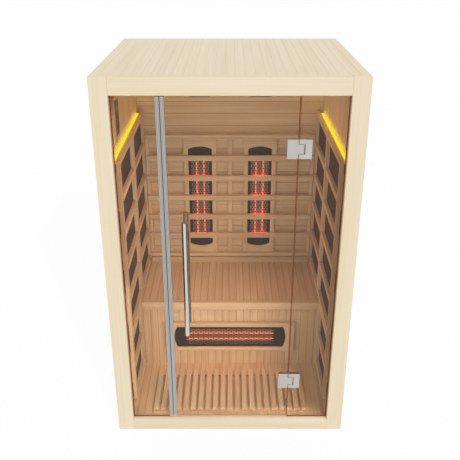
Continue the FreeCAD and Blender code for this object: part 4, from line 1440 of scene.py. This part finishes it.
@dataclass
class Control:
    """A wooden plate round a dark fascia with a display and four keys."""

    edge: float = 1.0 * MM
    fascia_edge: float = 0.5 * MM
    window_rim: float = 1.5 * MM
    window_depth: float = 0.3 * MM
    digit: tuple[float, float] = (11.0 * MM, 20.0 * MM)
    digit_side: float = 10.0 * MM
    line: float = 2.2 * MM
    level_cut: float = 2.4
    upright_cut: float = 1.2
    corner: float = 0.3
    proud: float = 0.15 * MM
    sunk: float = 0.1 * MM

    def stroke(self, name: str, face: float, spot: Point, size: Point) -> Piece:
        """Lay one stroke of a figure or a mark on a face that looks along +X.

        Args:
            name: the piece's name.
            face: the face's place along X.
            spot: the stroke's middle along Y and Z.
            size: the stroke's width along Y and height along Z.

        Returns:
            The stroke with pointed corners.
        """
        (y, z), (wide, tall) = spot, (side / 2 for side in size)
        low, high = (face - self.sunk, y - wide, z - tall), (face + self.proud, y + wide, z + tall)
        return ease(block(name, low, high), min(size) * self.corner, Axis.X, 1)

    def figure(self, face: float, spot: Point, lit: str) -> list[Piece]:
        """Lay one figure of seven strokes.

        Args:
            face: the display's face along X.
            spot: the figure's middle along Y and Z.
            lit: the letters of the strokes that are lit, from a at the head to g in the middle.

        Returns:
            The lit strokes.
        """
        wide, tall = (side / 2 for side in self.digit)
        level = (self.digit[0] - self.level_cut * self.line, self.line)
        upright = (self.line, tall - self.upright_cut * self.line)
        places = {
            "a": (0, tall, level),
            "b": (wide, tall / 2, upright),
            "c": (wide, -tall / 2, upright),
            "d": (0, -tall, level),
            "e": (-wide, -tall / 2, upright),
            "f": (-wide, tall / 2, upright),
            "g": (0, 0, level),
        }
        return [
            self.stroke("figure_stroke", face, (spot[0] + y, spot[1] + z), size)
            for y, z, size in map(places.get, lit)
        ]

    def display(self) -> None:
        """Sink the display's window and light its figures."""
        _, y, z = middle("control_display")
        low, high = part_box("control_display")
        window = block("display_pane", low, high)
        with editing(window, lambda face: face.normal.x > FACING):
            bpy.ops.mesh.inset(thickness=self.window_rim)
            push((-self.window_depth, 0, 0))
        fit(window, DISPLAY_WINDOW, "control_display")
        face = high.x - self.window_depth
        strokes = self.figure(face, (y - self.digit_side, z), "bcfg")
        strokes += self.figure(face, (y + self.digit_side, z), "acdfg")
        fit(join("display_figures", strokes), DISPLAY_STROKE)

    def build(self) -> None:
        """Build the control."""
        plate = soften(mended_copy("control_plate", "control_plate_wood"), self.edge)
        fit(mark_grain(plate, Axis.Z), WARM_HEMLOCK, "control_plate")
        fascia = soften(mended_copy("control_fascia", "control_fascia_panel"), self.fascia_edge)
        fit(fascia, DARK_ABS, "control_fascia")
        self.display()
        for body, bars in KEY_MARKS.items():
            key = body.value
            fit(ease(block(f"{key}_cap", *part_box(key)), self.edge), GREY_ABS, key, body=body)
            face, (_, y, z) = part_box(key)[1].x, middle(key)
            lines = [
                self.stroke(f"{key}_line", face, (y + right * MM, z + up * MM), (wide * MM, tall * MM))
                for right, up, wide, tall in bars
            ]
            fit(join(f"{key}_mark", lines), WHITE_PRINT, body=body)


@dataclass
class Supply:
    """The power unit above the ceiling and the gland on the back."""

    case_edge: float = 0.5 * MM
    gland_edge: float = 1.0 * MM
    flange: float = 5.0 * MM
    dome: float = 9.5 * MM
    bore: float = 4.6 * MM
    bore_floor: float = 0.2 * MM

    def gland(self) -> Piece:
        """Turn the gland: a six-sided flange and a round dome with a bore.

        Returns:
            The gland.
        """
        low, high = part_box("cable_gland")
        x, _, z = middle("cable_gland")
        seam = low.y + self.flange
        flange = turned("gland_flange", (high.x - low.x) / 2, (x, low.y, z), (x, seam, z), sides=6)
        dome = turned("gland_dome", self.dome, (x, seam, z), (x, high.y, z), sides=40)
        with editing(dome, lambda face: face.normal.y > FACING):
            bpy.ops.mesh.inset(thickness=self.dome - self.bore)
            push((0, seam - high.y + self.bore_floor, 0))
        return join("cable_gland_body", [soften(piece, self.gland_edge) for piece in (flange, dome)])

    def build(self) -> None:
        """Build the supply pieces."""
        case = soften(mended_copy("power_unit", "power_unit_case"), self.case_edge)
        fit(case, POWDER_COAT, "power_unit")
        fit(self.gland(), BLACK_NYLON, "cable_gland")


@dataclass(frozen=True)
class Lamp:
    """A soft lamp that is felt but not seen: its middle, turn in degrees, size and power."""

    name: str
    place: Point
    turn: Point
    size: Point
    watt: float
    colour: str = WHITE

    def hang(self) -> None:
        """Hang the lamp in the scene."""
        lamp = bpy.data.lights.new(self.name, "AREA")
        lamp.shape = "RECTANGLE"
        lamp.size, lamp.size_y = self.size
        lamp.energy = self.watt
        lamp.color = linear(self.colour)[:3]
        panel = bpy.data.objects.new(self.name, lamp)
        panel.location = self.place
        panel.rotation_euler = [math.radians(angle) for angle in self.turn]
        panel.visible_camera = panel.visible_glossy = panel.visible_transmission = False
        bpy.context.scene.collection.objects.link(panel)


LAMP_YELLOW, HEATER_RED = "#E8F224", "#FF5A3C"
LAMPS = (
    # The room's own light, from just behind the glass and under the ceiling
    Lamp("low_fill", (-0.12, -0.475, 0.5), (90, 0, 0), (0.8, 0.7), 1.62),
    Lamp("high_fill", (-0.14, -0.475, 1.2), (90, 0, 0), (0.6, 0.7), 1.85),
    Lamp("head_fill", (0.12, 0.05, 1.81), (0, 0, 0), (0.75, 0.75), 0.6),
    # The yellow of the light bars on the walls above them
    Lamp("left_wash", (-0.532, -0.02, 1.507), (180, 0, 0), (0.012, 0.84), 0.17, LAMP_YELLOW),
    Lamp("right_wash", (0.532, -0.02, 1.507), (180, 0, 0), (0.012, 0.84), 0.17, LAMP_YELLOW),
    # The floor's front edge, behind the sill
    Lamp("foot_fill", (0, -0.478, 0.105), (60, 0, 0), (0.95, 0.02), 0.1),
    # A warmer light on the upper walls
    Lamp("left_warm", (-0.3, 0, 1.68), (0, 90, 0), (0.25, 0.7), 0.22, "#FF9420"),
    Lamp("right_warm", (0.3, 0, 1.68), (0, -90, 0), (0.25, 0.7), 0.1, "#FF7024"),
    # The heaters' red glow
    Lamp("left_glow", (-0.18, 0.445, 0.962), (-90, 0, 0), (0.1, 0.5), 0.4, HEATER_RED),
    Lamp("right_glow", (0.18, 0.445, 0.962), (-90, 0, 0), (0.1, 0.5), 0.75, HEATER_RED),
    Lamp("bench_glow", (0, -0.05, 0.268), (-42, 0, 0), (0.5, 0.06), 0.15, HEATER_RED),
)
# Dark cards beside the front, which only polished metal shows: they give it dark edges
CARDS = {
    "left_card": ((-1.02, -1.5, 0), (-1.0, -0.45, 2.2)),
    "right_card": ((1.0, -1.0, 0), (1.02, -0.45, 2.2)),
}


@dataclass
class Studio:
    """Floor, world, lamps and the camera at the photograph's angle."""

    camera_m: tuple[float, float, float] = (0.0, -3.237, 2.456)
    pitch_deg: float = 24.98
    focal_px: float = 643.3
    frame_px: float = 460.0
    sensor_mm: float = 36.0
    sun_azimuth_deg: float = 24.5
    sun_elevation_deg: float = 35.5
    sun_disc_deg: float = 0.06
    sun_strength: float = 1.25
    sky_strength: float = 0.71
    floor_m: float = 90.0
    card_edge: float = 5.0 * MM

    def world(self) -> None:
        """Light the scene from all round and show white behind the object."""
        world = bpy.data.worlds.new("studio")
        bpy.context.scene.world = world
        world.use_nodes = True
        tree = world.node_tree
        tree.nodes.clear()
        levels = {"Value": in_sight(tree), "To Min": self.sky_strength, "To Max": 1.0}
        level = add_node(tree, "MapRange", levels)
        sky = add_node(tree, "Background", {"Color": linear(WHITE), "Strength": level})
        add_node(tree, "OutputWorld", {"Surface": sky})

    def stand(self) -> None:
        """Lay the floor and stand the cards on it."""
        bpy.ops.object.select_all(action="DESELECT")
        bpy.ops.mesh.primitive_plane_add(size=self.floor_m)
        floor = added("studio_floor")
        floor.data.materials.append(PALE_FLOOR.material())
        for name, corners in CARDS.items():
            card = ease(block(name, *corners), self.card_edge, Axis.Z)
            card.data.materials.append(BLACK_FELT.material())
            card.visible_camera = card.visible_diffuse = False
            card.visible_transmission = card.visible_shadow = False

    def sun(self) -> None:
        """Set the key light to the front right."""
        azimuth, elevation = math.radians(self.sun_azimuth_deg), math.radians(self.sun_elevation_deg)
        level = math.cos(elevation)
        ray = Vector((-math.sin(azimuth) * level, math.cos(azimuth) * level, -math.sin(elevation)))
        lamp = bpy.data.lights.new("key", "SUN")
        lamp.energy = self.sun_strength
        lamp.angle = math.radians(self.sun_disc_deg)
        key = bpy.data.objects.new("key", lamp)
        key.rotation_euler = ray.to_track_quat("-Z", "Y").to_euler()
        bpy.context.scene.collection.objects.link(key)

    def camera(self) -> None:
        """Set the camera at the photograph's angle."""
        lens = bpy.data.cameras.new("photo_camera")
        lens.sensor_width = self.sensor_mm
        lens.lens = self.focal_px / self.frame_px * self.sensor_mm
        camera = bpy.data.objects.new("photo_camera", lens)
        camera.location = self.camera_m
        camera.rotation_euler = (math.radians(90 - self.pitch_deg), 0, 0)
        bpy.context.scene.collection.objects.link(camera)
        bpy.context.scene.camera = camera

    def build(self) -> None:
        """Set up the studio."""
        bpy.context.scene.view_settings.view_transform = "Standard"
        self.world()
        self.stand()
        self.sun()
        for lamp in LAMPS:
            lamp.hang()
        self.camera()


def main() -> None:
    """Build every sub-assembly in order."""
    for assembly in (
        FrontFrame(),
        Carcass(),
        GlassFront(),
        Hinges(),
        Handle(),
        SideWalls(),
        Bench(),
        Backrest(),
        Heaters(),
        FloorMat(),
        Control(),
        Supply(),
        Studio(),
    ):
        LOG.info("building %s", type(assembly).__name__)
        assembly.build()


if __name__ == "__main__":
    main()
